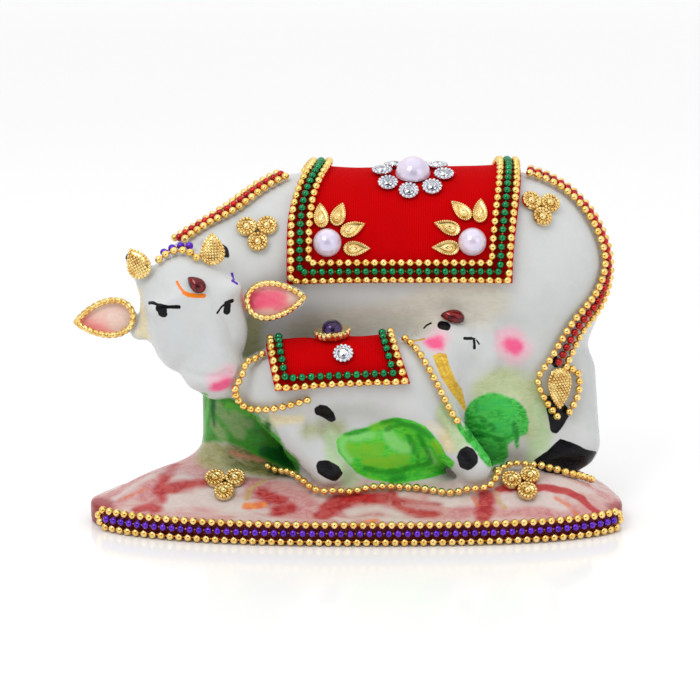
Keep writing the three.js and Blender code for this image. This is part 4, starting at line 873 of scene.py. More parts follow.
def gold_drop_parts():
    """A stamped leaf: a beaded rim, a hollow inside it and a smaller drop raised in the middle."""
    profile = [(0, 0), (0.95, 0), (0.98, 0.25), (0.9, 0.6), (0.78, 0.62), (0.66, 0.42), (0.54, 0.45),
               (0.46, 0.9), (0.34, 1.2), (0.2, 1.28), (0.1, 1.1), (0, 1.0)]
    parts = Parts().add(*drop_shell(GOLD_DROP_LENGTH, GOLD_DROP_WIDTH, profile))
    for size, pitch, z, radius in ((0.86, 0.62, 0.62, 0.33), (0.46, 0.5, 0.85, 0.24)):
        parts.add(*balls(row_on_outline(GOLD_DROP_LENGTH, GOLD_DROP_WIDTH, size, pitch, z), radius))
    return parts


GARNET_CORNERS = 14


def garnet_parts(long, wide, height):
    """A dark red stone cut to a drop."""
    outline = drop_outline(long, wide, GARNET_CORNERS)[::-1]
    return Parts().add(*cut_stone(outline, height, (1, 1, 0.8, 0.55), (0, 0.35, 0.75, 1)), smooth=False)


GRAINED_SHARE = 0.74
GRAIN_HEIGHT = 0.9
GRAIN_DOME = 0.46


def grain_pad_parts(long, wide, rim_grain, grain, upright):
    """A domed pad of small grains in rows, inside one row of larger grains."""
    middle_y = DROP_MIDDLE * long
    profile = [(0, 0), (0.9, 0), (0.96, 0.3), (0.86, 0.75), (0.6, 1.0), (0.3, 1.15), (0, 1.2)]
    parts = Parts().add(*drop_shell(long, wide, profile))
    parts.add(*balls(row_on_outline(long, wide, 0.88, rim_grain * 1.9, 0.62), rim_grain, FINE))
    pitch = grain * 2
    rows = np.arange(-long / 2, long / 2, pitch * (1 if upright else 0.9))
    grains = []
    for i, y in enumerate(rows):
        shift = 0 if upright else (i % 2) * pitch / 2
        for x in np.arange(-wide / 2, wide / 2, pitch) + shift:
            share = drop_share(x / GRAINED_SHARE, middle_y + (y - middle_y) / GRAINED_SHARE, long, wide)
            if share < 1:
                grains.append((x, y, GRAIN_HEIGHT + GRAIN_DOME * (1 - share**2)))
    return parts.add(*balls(grains, grain))


def drop_share(x, y, long, wide):
    """How far out a place lies in a drop's outline: under 1 is inside."""
    if abs(y) >= long / 2:
        return 2
    t = math.acos(2 * y / long)
    half = wide / 2 * DROP_FULLNESS * math.sin(t) * abs(math.sin(t / 2)) ** DROP_TAPER
    return max(abs(x) / max(half, 1e-6), abs(2 * y / long))


EAR_RING_LENGTH = 18
EAR_RING_WIDTH = 12.2
EAR_RING_THICKNESS = 1.6
RING_TIP_SHARE = 1.3
ROPE_STRANDS = 3
ROPE_TURN = 5.2
ROPE_STEP = 0.28
ROPE_SIDES = 18
STRAND_CORE, STRAND_SWELL, STRAND_ROUNDING = 0.54, 0.6, 0.8
RING_ROUTE_STEPS = 300


def ear_ring_parts():
    """A drop-shaped ring of three twisted strands."""
    long = EAR_RING_LENGTH - RING_TIP_SHARE * EAR_RING_THICKNESS
    outline = drop_outline(long, EAR_RING_WIDTH - EAR_RING_THICKNESS, RING_ROUTE_STEPS)
    path = evenly(outline, ROPE_STEP, closed=True)
    count, sides = len(path), ROPE_SIDES
    ahead = unit(np.roll(path, -1, axis=0) - np.roll(path, 1, axis=0))
    out = np.array([0, 0, 1.0])
    left = np.cross(out, ahead)
    length = np.linalg.norm(path - np.roll(path, 1, axis=0), axis=1).sum()
    turns = round(length / ROPE_TURN)
    angle = np.arange(sides) / sides * 2 * math.pi
    twist = np.arange(count)[:, None] / count * turns * 2 * math.pi
    lobes = np.abs(np.cos(ROPE_STRANDS / 2 * (angle[None] - twist)))
    radius = EAR_RING_THICKNESS / 2 * (STRAND_CORE + STRAND_SWELL * lobes**STRAND_ROUNDING)
    across = radius * np.cos(angle)
    along_out = radius * np.sin(angle) + EAR_RING_THICKNESS / 2
    points = path[:, None] + left[:, None] * across[..., None] + out * along_out[..., None]
    name = np.arange(count * sides).reshape(count, sides)
    after, around = np.roll(name, -1, axis=0), np.roll(name, -1, axis=1)
    both = np.roll(after, -1, axis=1)
    quads = np.stack([name, after, both, around], -1).reshape(-1, 4)
    return Parts().add(points.reshape(-1, 3), quads)


TREFOIL_STUD = 6
TREFOIL_SPREAD = 3.3
STUD_SIDES = 36
STUD_RIM_BEADS = 15
STUD_GROOVE_BEADS = 12


def trefoil_parts(lift):
    """Three stamped studs round a common middle: beaded rims round raised buttons. lift scales heights."""
    r = TREFOIL_STUD / 2
    profile = [(0, 0), (r * 0.9, 0), (r * 0.99, 0.3), (r * 0.94, 0.85 * lift), (r * 0.82, 0.7 * lift),
               (r * 0.62, 0.34 * lift), (r * 0.42, 0.3 * lift), (r * 0.36, 0.9 * lift),
               (r * 0.2, 1.35 * lift), (0, 1.45 * lift)]
    stud = Parts().add(*lathe(profile, STUD_SIDES))
    stud.add(*ring_of_balls(r * 0.8, STUD_RIM_BEADS, r * 0.165, 0.85 * lift, FINE))
    stud.add(*ring_of_balls(r * 0.5, STUD_GROOVE_BEADS, r * 0.09, 0.62 * lift, COARSE))
    parts = Parts()
    for lobe in range(3):
        angle = math.pi / 2 + lobe / 3 * 2 * math.pi
        middle = TREFOIL_SPREAD * np.array([math.cos(angle), math.sin(angle), 0])
        parts.join(stud.moved(np.eye(3), middle))
    return parts


CALF_TOP_STONE = 6
CALF_TOP_RIM = 10.4
CALF_TOP_RIM_HEIGHT = 2.2
CALF_TOP_STONE_HEIGHT = 2.4
CALF_TOP_RIM_SIDES = 132
FLUTES = 22
FLUTE_DEPTH = 0.1


def calf_top_stone_parts():
    """A violet stone standing in a fluted gold cup."""
    def flutes(angle):
        return 1 - FLUTE_DEPTH * np.abs(np.sin(FLUTES / 2 * angle))

    r, h = CALF_TOP_RIM / 2, CALF_TOP_RIM_HEIGHT
    cup = [(0, 0), (r * 0.9, 0), (r * 0.93, h * 0.2), (r * 0.99, h * 0.6), (r, h * 0.85), (r * 0.95, h),
           (r * 0.78, h * 0.95), (r * 0.62, h), (0, h)]
    parts = Parts().add(*lathe(cup, CALF_TOP_RIM_SIDES, flutes))
    top = h + CALF_TOP_STONE_HEIGHT
    stone = cut_stone(round_outline(CALF_TOP_STONE / 2, 12), top, (1, 1, 0.86, 0.5),
                      (h / top, (h + 0.7) / top, (h + 1.5) / top, 1))
    return parts.add(*stone, smooth=False, finish=1)


# Materials: small helpers that place and join nodes.
class Graph:
    def __init__(self, tree):
        self.tree = tree

    def node(self, kind, **settings):
        node = self.tree.nodes.new(kind)
        for name, value in settings.items():
            setattr(node, name, value)
        return node

    def feed(self, socket, value):
        if isinstance(value, bpy.types.NodeSocket):
            self.tree.links.new(value, socket)
        elif value is not None:
            socket.default_value = value

    def math(self, operation, a, b=None):
        node = self.node("ShaderNodeMath", operation=operation)
        self.feed(node.inputs[0], a)
        self.feed(node.inputs[1], b)
        return node.outputs[0]

    def clamp(self, value):
        node = self.node("ShaderNodeClamp")
        self.feed(node.inputs["Value"], value)
        return node.outputs[0]

    def vector(self, operation, a, b=None, scale=None):
        node = self.node("ShaderNodeVectorMath", operation=operation)
        self.feed(node.inputs[0], a)
        self.feed(node.inputs[1], b)
        if scale is not None:
            self.feed(node.inputs["Scale"], scale)
        return node.outputs["Value" if operation in ("DOT_PRODUCT", "LENGTH") else "Vector"]

    def smooth(self, value, low, high):
        """0 at low and 1 at high, eased at both ends."""
        node = self.node("ShaderNodeMapRange", interpolation_type="SMOOTHSTEP")
        self.feed(node.inputs["Value"], value)
        self.feed(node.inputs["From Min"], low)
        self.feed(node.inputs["From Max"], high)
        return node.outputs["Result"]

    def mix(self, mask, a, b):
        node = self.node("ShaderNodeMix", data_type="RGBA")
        self.feed(node.inputs["Factor"], mask)
        self.feed(node.inputs["A"], a)
        self.feed(node.inputs["B"], b)
        return node.outputs["Result"]

    def noise(self, place, scale, detail=2, roughness=0.5, distortion=0):
        node = self.node("ShaderNodeTexNoise")
        self.feed(node.inputs["Vector"], place)
        self.feed(node.inputs["Scale"], scale)
        self.feed(node.inputs["Detail"], detail)
        self.feed(node.inputs["Roughness"], roughness)
        self.feed(node.inputs["Distortion"], distortion)
        return node

    def group(self, tree, **inputs):
        node = self.node("ShaderNodeGroup", node_tree=tree)
        for name, value in inputs.items():
            self.feed(node.inputs[name.replace("_", " ")], value)
        return node.outputs


class Group(Graph):
    """A shared effect with named inputs and outputs."""

    def __init__(self, name, inputs, outputs):
        super().__init__(bpy.data.node_groups.new(name, "ShaderNodeTree"))
        for socket, (kind, default) in inputs.items():
            made = self.tree.interface.new_socket(socket, in_out="INPUT", socket_type=f"NodeSocket{kind}")
            if default is not None:
                made.default_value = default
        for socket, kind in outputs.items():
            self.tree.interface.new_socket(socket, in_out="OUTPUT", socket_type=f"NodeSocket{kind}")
        self.given = self.node("NodeGroupInput").outputs
        self.result = self.node("NodeGroupOutput").inputs

    def give(self, **outputs):
        for name, value in outputs.items():
            self.feed(self.result[name.replace("_", " ")], value)
        return self.tree


def colour(red, green, blue):
    """A colour as it looks, 0 to 255, as linear light."""
    def linear(value):
        value /= 255
        return value / 12.92 if value <= 0.04045 else ((value + 0.055) / 1.055) ** 2.4

    return (linear(red), linear(green), linear(blue), 1)


def figure_place_group():
    """Places on the figure in its own millimetres."""
    g = Group("Figure place", {}, {"Place": "Vector"})
    place = g.node("ShaderNodeTexCoord").outputs["Object"]
    scaled = g.vector("SCALE", place, scale=1 / MM)
    return g.give(Place=g.vector("SUBTRACT", scaled, tuple(FIGURE_SHIFT)))


def brush_group():
    """One brush stroke between two places: full within its radius, gone an edge further out."""
    g = Group(
        "Brush stroke",
        {"Place": ("Vector", None), "From": ("Vector", None), "To": ("Vector", None),
         "Radius": ("Float", 1.0), "Edge": ("Float", 0.2)},
        {"Mask": "Float"},
    )
    start = g.given["From"]
    to_place = g.vector("SUBTRACT", g.given["Place"], start)
    ahead = g.vector("SUBTRACT", g.given["To"], start)
    along = g.clamp(
        g.math("DIVIDE", g.vector("DOT_PRODUCT", to_place, ahead), g.vector("DOT_PRODUCT", ahead, ahead)))
    gap = g.vector("LENGTH", g.vector("SUBTRACT", to_place, g.vector("SCALE", ahead, scale=along)))
    end = g.math("ADD", g.given["Radius"], g.given["Edge"])
    return g.give(Mask=g.smooth(gap, end, g.given["Radius"]))


def wobble_group():
    """Places pushed about by noise, so that what is drawn with them has a hand-painted edge."""
    g = Group(
        "Brush wobble",
        {"Place": ("Vector", None), "Grain": ("Float", 1.0), "Amount": ("Float", 0.2)},
        {"Place": "Vector"},
    )
    noise = g.noise(g.given["Place"], g.given["Grain"], 3).outputs["Color"]
    push = g.vector("SCALE", g.vector("SUBTRACT", noise, (0.5, 0.5, 0.5)), scale=g.given["Amount"])
    return g.give(Place=g.vector("ADD", g.given["Place"], push))


def unevenness_group():
    """The slight change of tone and of gloss from one spot of a surface to the next."""
    g = Group(
        "Unevenness",
        {"Place": ("Vector", None), "Grain": ("Float", 0.4), "Low": ("Float", 0.2), "High": ("Float", 0.3)},
        {"Tone": "Float", "Gloss": "Float", "Relief": "Float"},
    )
    tone = g.noise(g.given["Place"], g.given["Grain"], 2).outputs["Fac"]
    fine = g.noise(g.given["Place"], g.math("MULTIPLY", g.given["Grain"], 6.0), 3).outputs["Fac"]
    spread = g.math("SUBTRACT", g.given["High"], g.given["Low"])
    gloss = g.math("ADD", g.given["Low"], g.math("MULTIPLY", spread, fine))
    return g.give(Tone=g.smooth(tone, 0.35, 0.65), Gloss=gloss, Relief=fine)


FIGURE_PLACE = figure_place_group()
BRUSH = brush_group()
WOBBLE = wobble_group()
UNEVENNESS = unevenness_group()


def new_material(name):
    """A material, the graph that feeds it, its shader and the figure's places."""
    material = bpy.data.materials.new(name)
    material.use_nodes = True
    g = Graph(material.node_tree)
    shader = material.node_tree.nodes["Principled BSDF"]
    return material, g, shader, g.group(FIGURE_PLACE)["Place"]


def bump(g, shader, height, distance, strength=1.0):
    node = g.node("ShaderNodeBump")
    node.inputs["Strength"].default_value = strength
    node.inputs["Distance"].default_value = distance * MM
    g.feed(node.inputs["Height"], height)
    g.feed(shader.inputs["Normal"], node.outputs["Normal"])


def plated(name, bright, deep, low, high, relief=0.02, coat=0.0):
    """Plated or lacquered metal, its tone and gloss changing from bead to bead."""
    material, g, shader, place = new_material(name)
    uneven = g.group(UNEVENNESS, Place=place, Grain=0.45, Low=low, High=high)
    g.feed(shader.inputs["Base Color"], g.mix(uneven["Tone"], bright, deep))
    g.feed(shader.inputs["Roughness"], uneven["Gloss"])
    shader.inputs["Metallic"].default_value = 1
    shader.inputs["Coat Weight"].default_value = coat
    shader.inputs["Coat Roughness"].default_value = 0.08
    bump(g, shader, uneven["Relief"], relief)
    return material


def velvet_material():
    material, g, shader, place = new_material("Velvet")
    rib = g.node("ShaderNodeTexWave", wave_type="BANDS", bands_direction="X")
    g.feed(rib.inputs["Vector"], place)
    rib.inputs["Scale"].default_value = 0.62
    rib.inputs["Distortion"].default_value = 0.6
    rib.inputs["Detail"].default_value = 2
    pile = g.noise(place, 3.5, 4, 0.7).outputs["Fac"]
    shade = g.noise(place, 0.09, 2).outputs["Fac"]
    nap = g.math("ADD", g.math("MULTIPLY", rib.outputs["Fac"], 0.35), g.math("MULTIPLY", pile, 0.65))
    lit = g.mix(g.smooth(nap, 0.2, 0.8), colour(172, 0, 4), colour(214, 0, 5))
    g.feed(shader.inputs["Base Color"], g.mix(g.smooth(shade, 0.35, 0.7), lit, colour(190, 0, 4)))
    g.feed(shader.inputs["Roughness"], g.math("ADD", 0.75, g.math("MULTIPLY", pile, 0.2)))
    shader.inputs["Sheen Weight"].default_value = 0.06
    shader.inputs["Sheen Roughness"].default_value = 0.4
    shader.inputs["Sheen Tint"].default_value = (1, 0.12, 0.1, 1)
    shader.inputs["Specular IOR Level"].default_value = 0.04
    bump(g, shader, nap, 0.12)
    return material


def pearl_material():
    material, g, shader, place = new_material("Pearl")
    uneven = g.group(UNEVENNESS, Place=place, Grain=0.12, Low=0.16, High=0.24)
    g.feed(shader.inputs["Base Color"], g.mix(uneven["Tone"], colour(212, 204, 228), colour(230, 218, 236)))
    g.feed(shader.inputs["Roughness"], uneven["Gloss"])
    shader.inputs["Metallic"].default_value = 0.25
    shader.inputs["Coat Weight"].default_value = 0.8
    shader.inputs["Coat Roughness"].default_value = 0.06
    shader.inputs["Sheen Weight"].default_value = 0.3
    shader.inputs["Sheen Tint"].default_value = (1, 0.75, 0.95, 1)
    bump(g, shader, uneven["Relief"], 0.004)
    return material


def stone_material(name, bright, deep, metallic, coat=1.0):
    """A cut stone on a mirror back: its colour changes from facet to facet, bright and dark, as a painted
    reflection.
    """
    material, g, shader, place = new_material(name)
    normal = g.node("ShaderNodeNewGeometry").outputs["True Normal"]
    # Each facet's normal picks a bright or a dark tone: painted reflections on the facets.
    facet = g.noise(g.vector("SCALE", normal, scale=3.7), 1.0, 1).outputs["Fac"]
    uneven = g.group(UNEVENNESS, Place=place, Grain=0.7, Low=0.03, High=0.09)
    g.feed(shader.inputs["Base Color"], g.mix(g.smooth(facet, 0.4, 0.6), bright, deep))
    g.feed(shader.inputs["Roughness"], uneven["Gloss"])
    shader.inputs["Metallic"].default_value = metallic
    shader.inputs["Coat Weight"].default_value = coat
    shader.inputs["Coat Roughness"].default_value = 0.02
    return material


# Paint on the cast, from the lowest coat up. Each coat has two tones that the brush mixes, how far its edge
# wanders, how wide its soft edge is, how well it covers, and what is painted with it: routes with the
# brush's radius, or outlines that are filled. A place is a pixel of the photo, or a place in millimetres on
# a side that the photo doesn't show.
CRISP, BRUSHED, LOOSE = 0.3, 1.8, 4.5
FILLED = "filled"

PAINT = {
    # Warm beige tint with painted shade, on the recessed wall under the cloth's overhang above the calf.
    "recess_tint_and_painted_shade": (colour(204, 198, 178), colour(214, 208, 192), LOOSE, 6, 0.75, [
        ([(300, 330), (345, 325), (400, 315), (430, 318)], 2),
        ([(415, 314), (455, 300), (484, 302)], 3.5),
    ]),
    "pink_wash": (colour(190, 118, 120), colour(204, 150, 148), LOOSE, 4, 0.85, [
        ([(100, 503), (130, 484), (162, 466), (184, 450)], 4.6),
        ([(150, 492), (185, 462), (206, 474)], 3),
        ([(245, 484), (272, 492), (300, 506)], 3),
        ([(345, 512), (400, 508), (440, 516)], 1.2),
        ([(455, 516), (480, 504)], 1.2),
        ([(505, 512), (545, 512), (590, 510)], 1.2),
        ([(594, 488), (620, 504)], 1.2),
        ([(-66, 2, 9), (-56, 12, 10), (-46, 14, 12)], 3),
        ([(-30, 28, 10), (10, 31, 10), (50, 28, 10)], 2),
    ]),
    "pale_streaks": (colour(216, 206, 202), colour(208, 196, 190), LOOSE, 2.6, 0.8, [
        ([(112, 500), (126, 491), (150, 476)], 0.1),
        ([(172, 503), (205, 499), (240, 506)], 1.6),
        ([(206, 492), (238, 489)], 0.8),
        ([(352, 513), (378, 508), (398, 513)], 0.3),
        ([(436, 500), (472, 498)], 1.6),
        ([(508, 500), (540, 499), (562, 506)], 1.2),
    ]),
    "red_swirls": (colour(162, 28, 36), colour(186, 68, 68), LOOSE, 2.4, 0.92, [
        ([(175, 465), (165, 478), (159, 490), (163, 500)], 0.4),
        ([(158, 491), (180, 486), (204, 482)], 0.7),
        ([(139, 509), (149, 507), (155, 509)], 0.9),
        ([(260, 493), (270, 497), (280, 499)], 0.9),
        ([(278, 512), (290, 508)], 0.9),
        ([(324, 515), (336, 503), (356, 497), (384, 498)], 1.3),
        ([(392, 494), (398, 506), (416, 512), (434, 514)], 0.5),
        ([(398, 501), (420, 503), (440, 505)], 0.1),
        ([(486, 496), (484, 518)], 1.2),
        ([(-40, 24, 9), (-22, 31, 9), (-4, 27, 11)], 1.2),
        ([(12, 29, 10), (30, 27, 12), (44, 31, 9)], 1),
        ([(64, 4, 9), (70, 14, 9), (62, 25, 9)], 1),
    ]),
    "red_arc": (colour(172, 30, 38), colour(186, 52, 54), BRUSHED, 0.9, 0.92, [
        ([(500, 489), (520, 487), (546, 488), (566, 491), (581, 498), (596, 511)], 0.95),
        ([(344, 499), (356, 497), (372, 498)], 0.9),
    ]),
    "brick_end": (colour(164, 66, 70), colour(150, 56, 60), LOOSE, 3, 0.85, [
        ([(95, 502), (104, 506)], 1.6),
        ([(612, 507), (620, 505)], 0.2),
    ]),
    "orange_dabs": (colour(236, 140, 60), colour(222, 104, 60), BRUSHED, 1.2, 0.9, [
        ([(247, 506), (262, 505)], 0.7),
        ([(366, 521), (377, 520)], 0.1),
    ]),
    "orange_lines": (colour(216, 116, 56), colour(214, 120, 96), BRUSHED, 1, 0.75, [
        ([(120, 499), (132, 495), (146, 488)], 0.1),
        ([(556, 498), (568, 505), (577, 514)], 0.1),
        ([(474, 497), (478, 505)], 0.1),
        ([(203, 443), (208, 449)], 0.1),
    ]),
    "ochre_lines": (colour(176, 156, 76), colour(190, 170, 100), BRUSHED, 1, 0.75, [
        ([(246, 499), (251, 489), (261, 482), (277, 477)], 0.1),
        ([(497, 492), (499, 500), (505, 508)], 0.1),
        ([(216, 444), (224, 455)], 0.1),
    ]),
    # Olive along the stump's foot and beside the calf's foreleg.
    "olive_by_stump_and_foreleg": (colour(142, 150, 84), colour(168, 166, 112), LOOSE, 4, 0.85, [
        ([(204, 446), (222, 458), (262, 466)], 2.6),
        ([(446, 418), (452, 436)], 0.8),
    ]),
    # Dark olive where the stump meets the ground.
    "stump_foot": (colour(92, 94, 44), colour(134, 130, 84), LOOSE, 4.5, 0.85, [
        ([(236, 456), (256, 462), (276, 471)], 1.8),
    ]),
    "bush_halo": (colour(178, 192, 134), colour(192, 204, 154), LOOSE, 5, 0.85, [
        ([(484, 388), (504, 382), (524, 388), (534, 404), (536, 430)], 1.6),
    ]),
    # Olive tint with painted shade: in the hollow between the cow's head and the calf, and along the crease
    # under the calf's hind leg.
    "moss_tint_and_painted_shade": (colour(164, 172, 122), colour(180, 182, 140), LOOSE, 4.5, 0.9, [
        ([(250, 326), (251, 338), (248, 354)], 1.6),
        ([(308, 430), (338, 429)], 0.1),
    ]),
    "green_haze": (colour(178, 208, 158), colour(192, 212, 172), LOOSE, 3, 0.8, [
        ([(202, 438), (208, 428)], 1.2),
        ([(330, 438), (336, 462), (350, 478)], 1),
        ([(538, 410), (543, 436), (532, 460)], 0.8),
        ([(25, 28, 23), (36, 28, 25), (47, 27, 22)], 3),
        ([(446, 410), (462, 440)], 1.2),
    ]),
    # Cream, partly the paint and partly painted shade, in the creases: at the left ear's root, under the
    # calf's hind leg and by its foreleg.
    "cream_root": (colour(222, 206, 160), colour(228, 218, 182), LOOSE, 2.6, 0.85, [
        ([(139, 292), (143, 312), (144, 332)], 0.5),
        ([(268, 419), (300, 419)], 0.1),
        ([(430, 428), (442, 432), (448, 446)], 0.1),
    ]),
    "red_brown_line": (colour(186, 108, 88), colour(196, 132, 108), BRUSHED, 1.2, 0.8, [
        ([(230, 452), (246, 457), (264, 460)], 0.2),
    ]),
    "green_stump": (colour(46, 160, 36), colour(58, 134, 16), BRUSHED, 1.4, 0.97, [
        ([(200, 388), (212, 394), (226, 399), (250, 408), (264, 414), (276, 435), (284, 450), (297, 462),
          (298, 472), (280, 464), (262, 455), (243, 446), (226, 439), (208, 440), (198, 438), (198, 412)],
         FILLED),
        ([(-40, 15, 18), (-37, 18, 26), (-33, 20, 35)], 2),
        ([(-43, 8, 18), (-41, 10, 25)], 1.6),
        ([(-26, 28, 18), (-12, 28, 22)], 3),
    ]),
    "stump_leaf": (colour(70, 176, 70), colour(96, 186, 54), BRUSHED, 1, 0.92, [
        ([(228, 407), (246, 413)], 0.9),
        ([(204, 394), (204, 415), (204, 432)], 0.7),
        ([(208, 398), (207, 416), (205, 430)], 0.4),
    ]),
    "stump_grey": (colour(126, 166, 104), colour(150, 176, 118), BRUSHED, 2, 0.85, [
        ([(218, 408), (228, 420), (240, 432)], 0.9),
        ([(214, 424), (222, 436)], 0.8),
        ([(232, 414), (250, 424)], 0.3),
    ]),
    "dark_stump": (colour(6, 80, 34), colour(16, 104, 34), BRUSHED, 1.6, 0.9, [
        ([(213, 400), (213, 412), (214, 424)], 0.1),
        ([(268, 424), (282, 449), (292, 462)], 0.3),
        ([(264, 451), (276, 455), (290, 464)], 0.9),
    ]),
    "green_patch": (colour(92, 208, 44), colour(44, 190, 40), CRISP, 0.5, 0.97, [
        ([(337, 440), (347, 433), (368, 428), (384, 421), (395, 418), (412, 421), (425, 427), (432, 435),
          (441, 446), (445, 455), (454, 463), (448, 472), (435, 476), (416, 480), (400, 483), (384, 481),
          (368, 478), (357, 472), (346, 460), (339, 452)], FILLED),
        ([(27, 28, 19), (36, 28, 20.5), (45, 27, 19)], 2.4),
        ([(32, 27, 24), (40, 27, 25)], 2.2),
    ]),
    "patch_light": (colour(128, 216, 104), colour(146, 216, 128), BRUSHED, 1.8, 0.85, [
        ([(343, 438), (344, 450), (350, 460)], 0.3),
        ([(352, 437), (372, 435)], 0.4),
        ([(388, 434), (396, 444), (406, 448)], 0.9),
        ([(33, 27, 24.5), (39, 27, 24.8)], 0.6),
        ([(428, 450), (434, 462)], 0.2),
    ]),
    "patch_yellow": (colour(130, 190, 34), colour(112, 196, 50), BRUSHED, 1.8, 0.85, [
        ([(350, 447), (354, 452)], 0.6),
        ([(364, 450), (378, 448)], 1),
        ([(368, 460), (384, 462), (404, 460)], 1),
        ([(434, 443), (438, 450)], 0.3),
        ([(372, 427), (388, 424)], 0.4),
    ]),
    "patch_dark": (colour(24, 136, 40), colour(40, 156, 36), BRUSHED, 1.1, 0.85, [
        ([(346, 434), (366, 430), (388, 421), (400, 420)], 0.1),
        ([(398, 422), (416, 427), (430, 436)], 0.6),
        ([(386, 430), (398, 426)], 0.1),
        ([(408, 436), (414, 450), (420, 460)], 0.2),
        ([(420, 436), (428, 452), (430, 462)], 0.3),
        ([(366, 468), (380, 472), (398, 471), (412, 466), (430, 463)], 0.3),
        ([(392, 480), (403, 478)], 0.5),
        ([(28, 28, 18), (37, 28, 19), (44, 28, 18)], 0.2),
    ]),
    "green_bush": (colour(18, 156, 28), colour(72, 200, 80), BRUSHED, 0.9, 0.97, [
        ([(466, 426), (466, 412), (474, 401), (488, 395), (501, 396), (514, 400), (524, 410), (527, 422),
          (525, 432), (515, 438), (507, 444), (506, 456), (502, 462), (489, 466), (478, 452), (468, 438)],
         FILLED),
        ([(454, 416), (462, 430), (476, 448)], 0.7),
        ([(516, 438), (517, 447)], 0.3),
    ]),
    # Lighter green on the bush: a painted highlight on the top of its dome, with lighter mottle lower down.
    "bush_mottle_and_painted_highlight": (colour(60, 192, 92), colour(70, 190, 70), BRUSHED, 2.4, 0.8, [
        ([(484, 406), (498, 402), (510, 412)], 0.9),
        ([(496, 424), (508, 430)], 0.7),
        ([(480, 446), (494, 452)], 0.6),
    ]),
    # Darker green on the bush: painted shade along its left edge, bottom and right side, with some mottle
    # inside.
    "bush_dark": (colour(14, 118, 44), colour(24, 134, 44), BRUSHED, 1.2, 0.85, [
        ([(467, 410), (466, 424), (470, 436)], 0.1),
        ([(474, 434), (490, 436), (504, 442)], 0.1),
        ([(482, 420), (494, 428)], 0.1),
        ([(514, 424), (517, 440)], 0.1),
    ]),
    "gold_band": (colour(230, 190, 50), colour(206, 156, 34), CRISP, 0.3, 0.97, [
        ([(433, 356), (439, 353), (446, 354), (449, 366), (455, 380), (461, 389), (465, 404), (466, 413),
          (459, 402), (450, 390), (441, 376)], FILLED),
    ]),
    # Lighter streaks along the gold band: a painted highlight.
    "gold_band_painted_highlight": (colour(246, 224, 112), colour(234, 200, 80), CRISP, 0.5, 0.85, [
        ([(435, 358), (445, 376), (457, 394)], 0.1),
        ([(442, 358), (448, 372)], 0.1),
    ]),
    "ear_skin": (colour(238, 200, 188), colour(238, 212, 200), LOOSE, 1, 0.95, [
        ([(256, 299), (282, 295)], 4.6),
        ([(90, 325), (116, 318)], 4.4),
    ]),
    "ear_pink": (colour(240, 138, 140), colour(242, 156, 152), LOOSE, 4, 0.9, [
        ([(80, 325), (98, 330)], 1.6),
        ([(252, 300), (278, 299)], 1.2),
    ]),
    "ear_deep_pink": (colour(240, 78, 124), colour(238, 96, 130), BRUSHED, 2.4, 0.85, [
        ([(254, 300), (279, 299)], 1.4),
    ]),
    "ear_edge": (colour(228, 96, 44), colour(224, 120, 70), CRISP, 0.8, 0.85, [
        ([(262, 317), (280, 310), (299, 297)], 0.3),
        ([(120, 301), (131, 308), (134, 319), (127, 332)], 0.2),
    ]),
    "blush_halo": (colour(244, 176, 196), colour(240, 190, 204), LOOSE, 4, 0.75, [
        ([(216, 382), (230, 373)], 0.6),
        ([(432, 344), (440, 338)], 1.2),
        ([(510, 342), (516, 350)], 2.4),
    ]),
    "blush": (colour(246, 80, 140), colour(240, 104, 152), BRUSHED, 2.4, 0.92, [
        ([(218, 387), (226, 384)], 1.1),
        ([(432, 343), (436, 343)], 1.1),
        ([(511, 345), (516, 347)], 1.1),
    ]),
    "black": (colour(8, 8, 11), colour(24, 23, 28), CRISP, 0.25, 1, [
        ([(314, 409), (319, 405), (327, 406), (333, 412), (336, 420), (331, 422), (323, 417),
          (316, 414)], FILLED),
        ([(316, 464), (320, 460.6), (328, 460.6), (338, 466), (343, 474), (335, 481.5), (326, 478),
          (318, 473)], FILLED),
        ([(457, 456), (461, 449), (467, 446.5), (473, 449), (477.5, 456), (477.5, 462), (473, 468),
          (467, 470), (460, 467)], FILLED),
        ([(544, 396), (547, 410), (549, 419), (551, 431), (555, 434), (559, 431), (565, 422), (571, 412),
          (562, 402), (552, 396)], FILLED),
        ([(550, 362), (556, 356), (561, 362), (556, 368)], FILLED),
        ([(560, 439), (569, 442), (577, 445), (586, 450), (597, 452), (593, 458), (588, 468), (578, 474),
          (562, 474), (545, 472), (530, 465), (536, 459), (548, 451)], FILLED),
        ([(52, 24, 16), (64, 24, 16)], 4.2),
        ([(-26, 30, 15), (-16, 30, 15)], 3.6),
    ]),
}

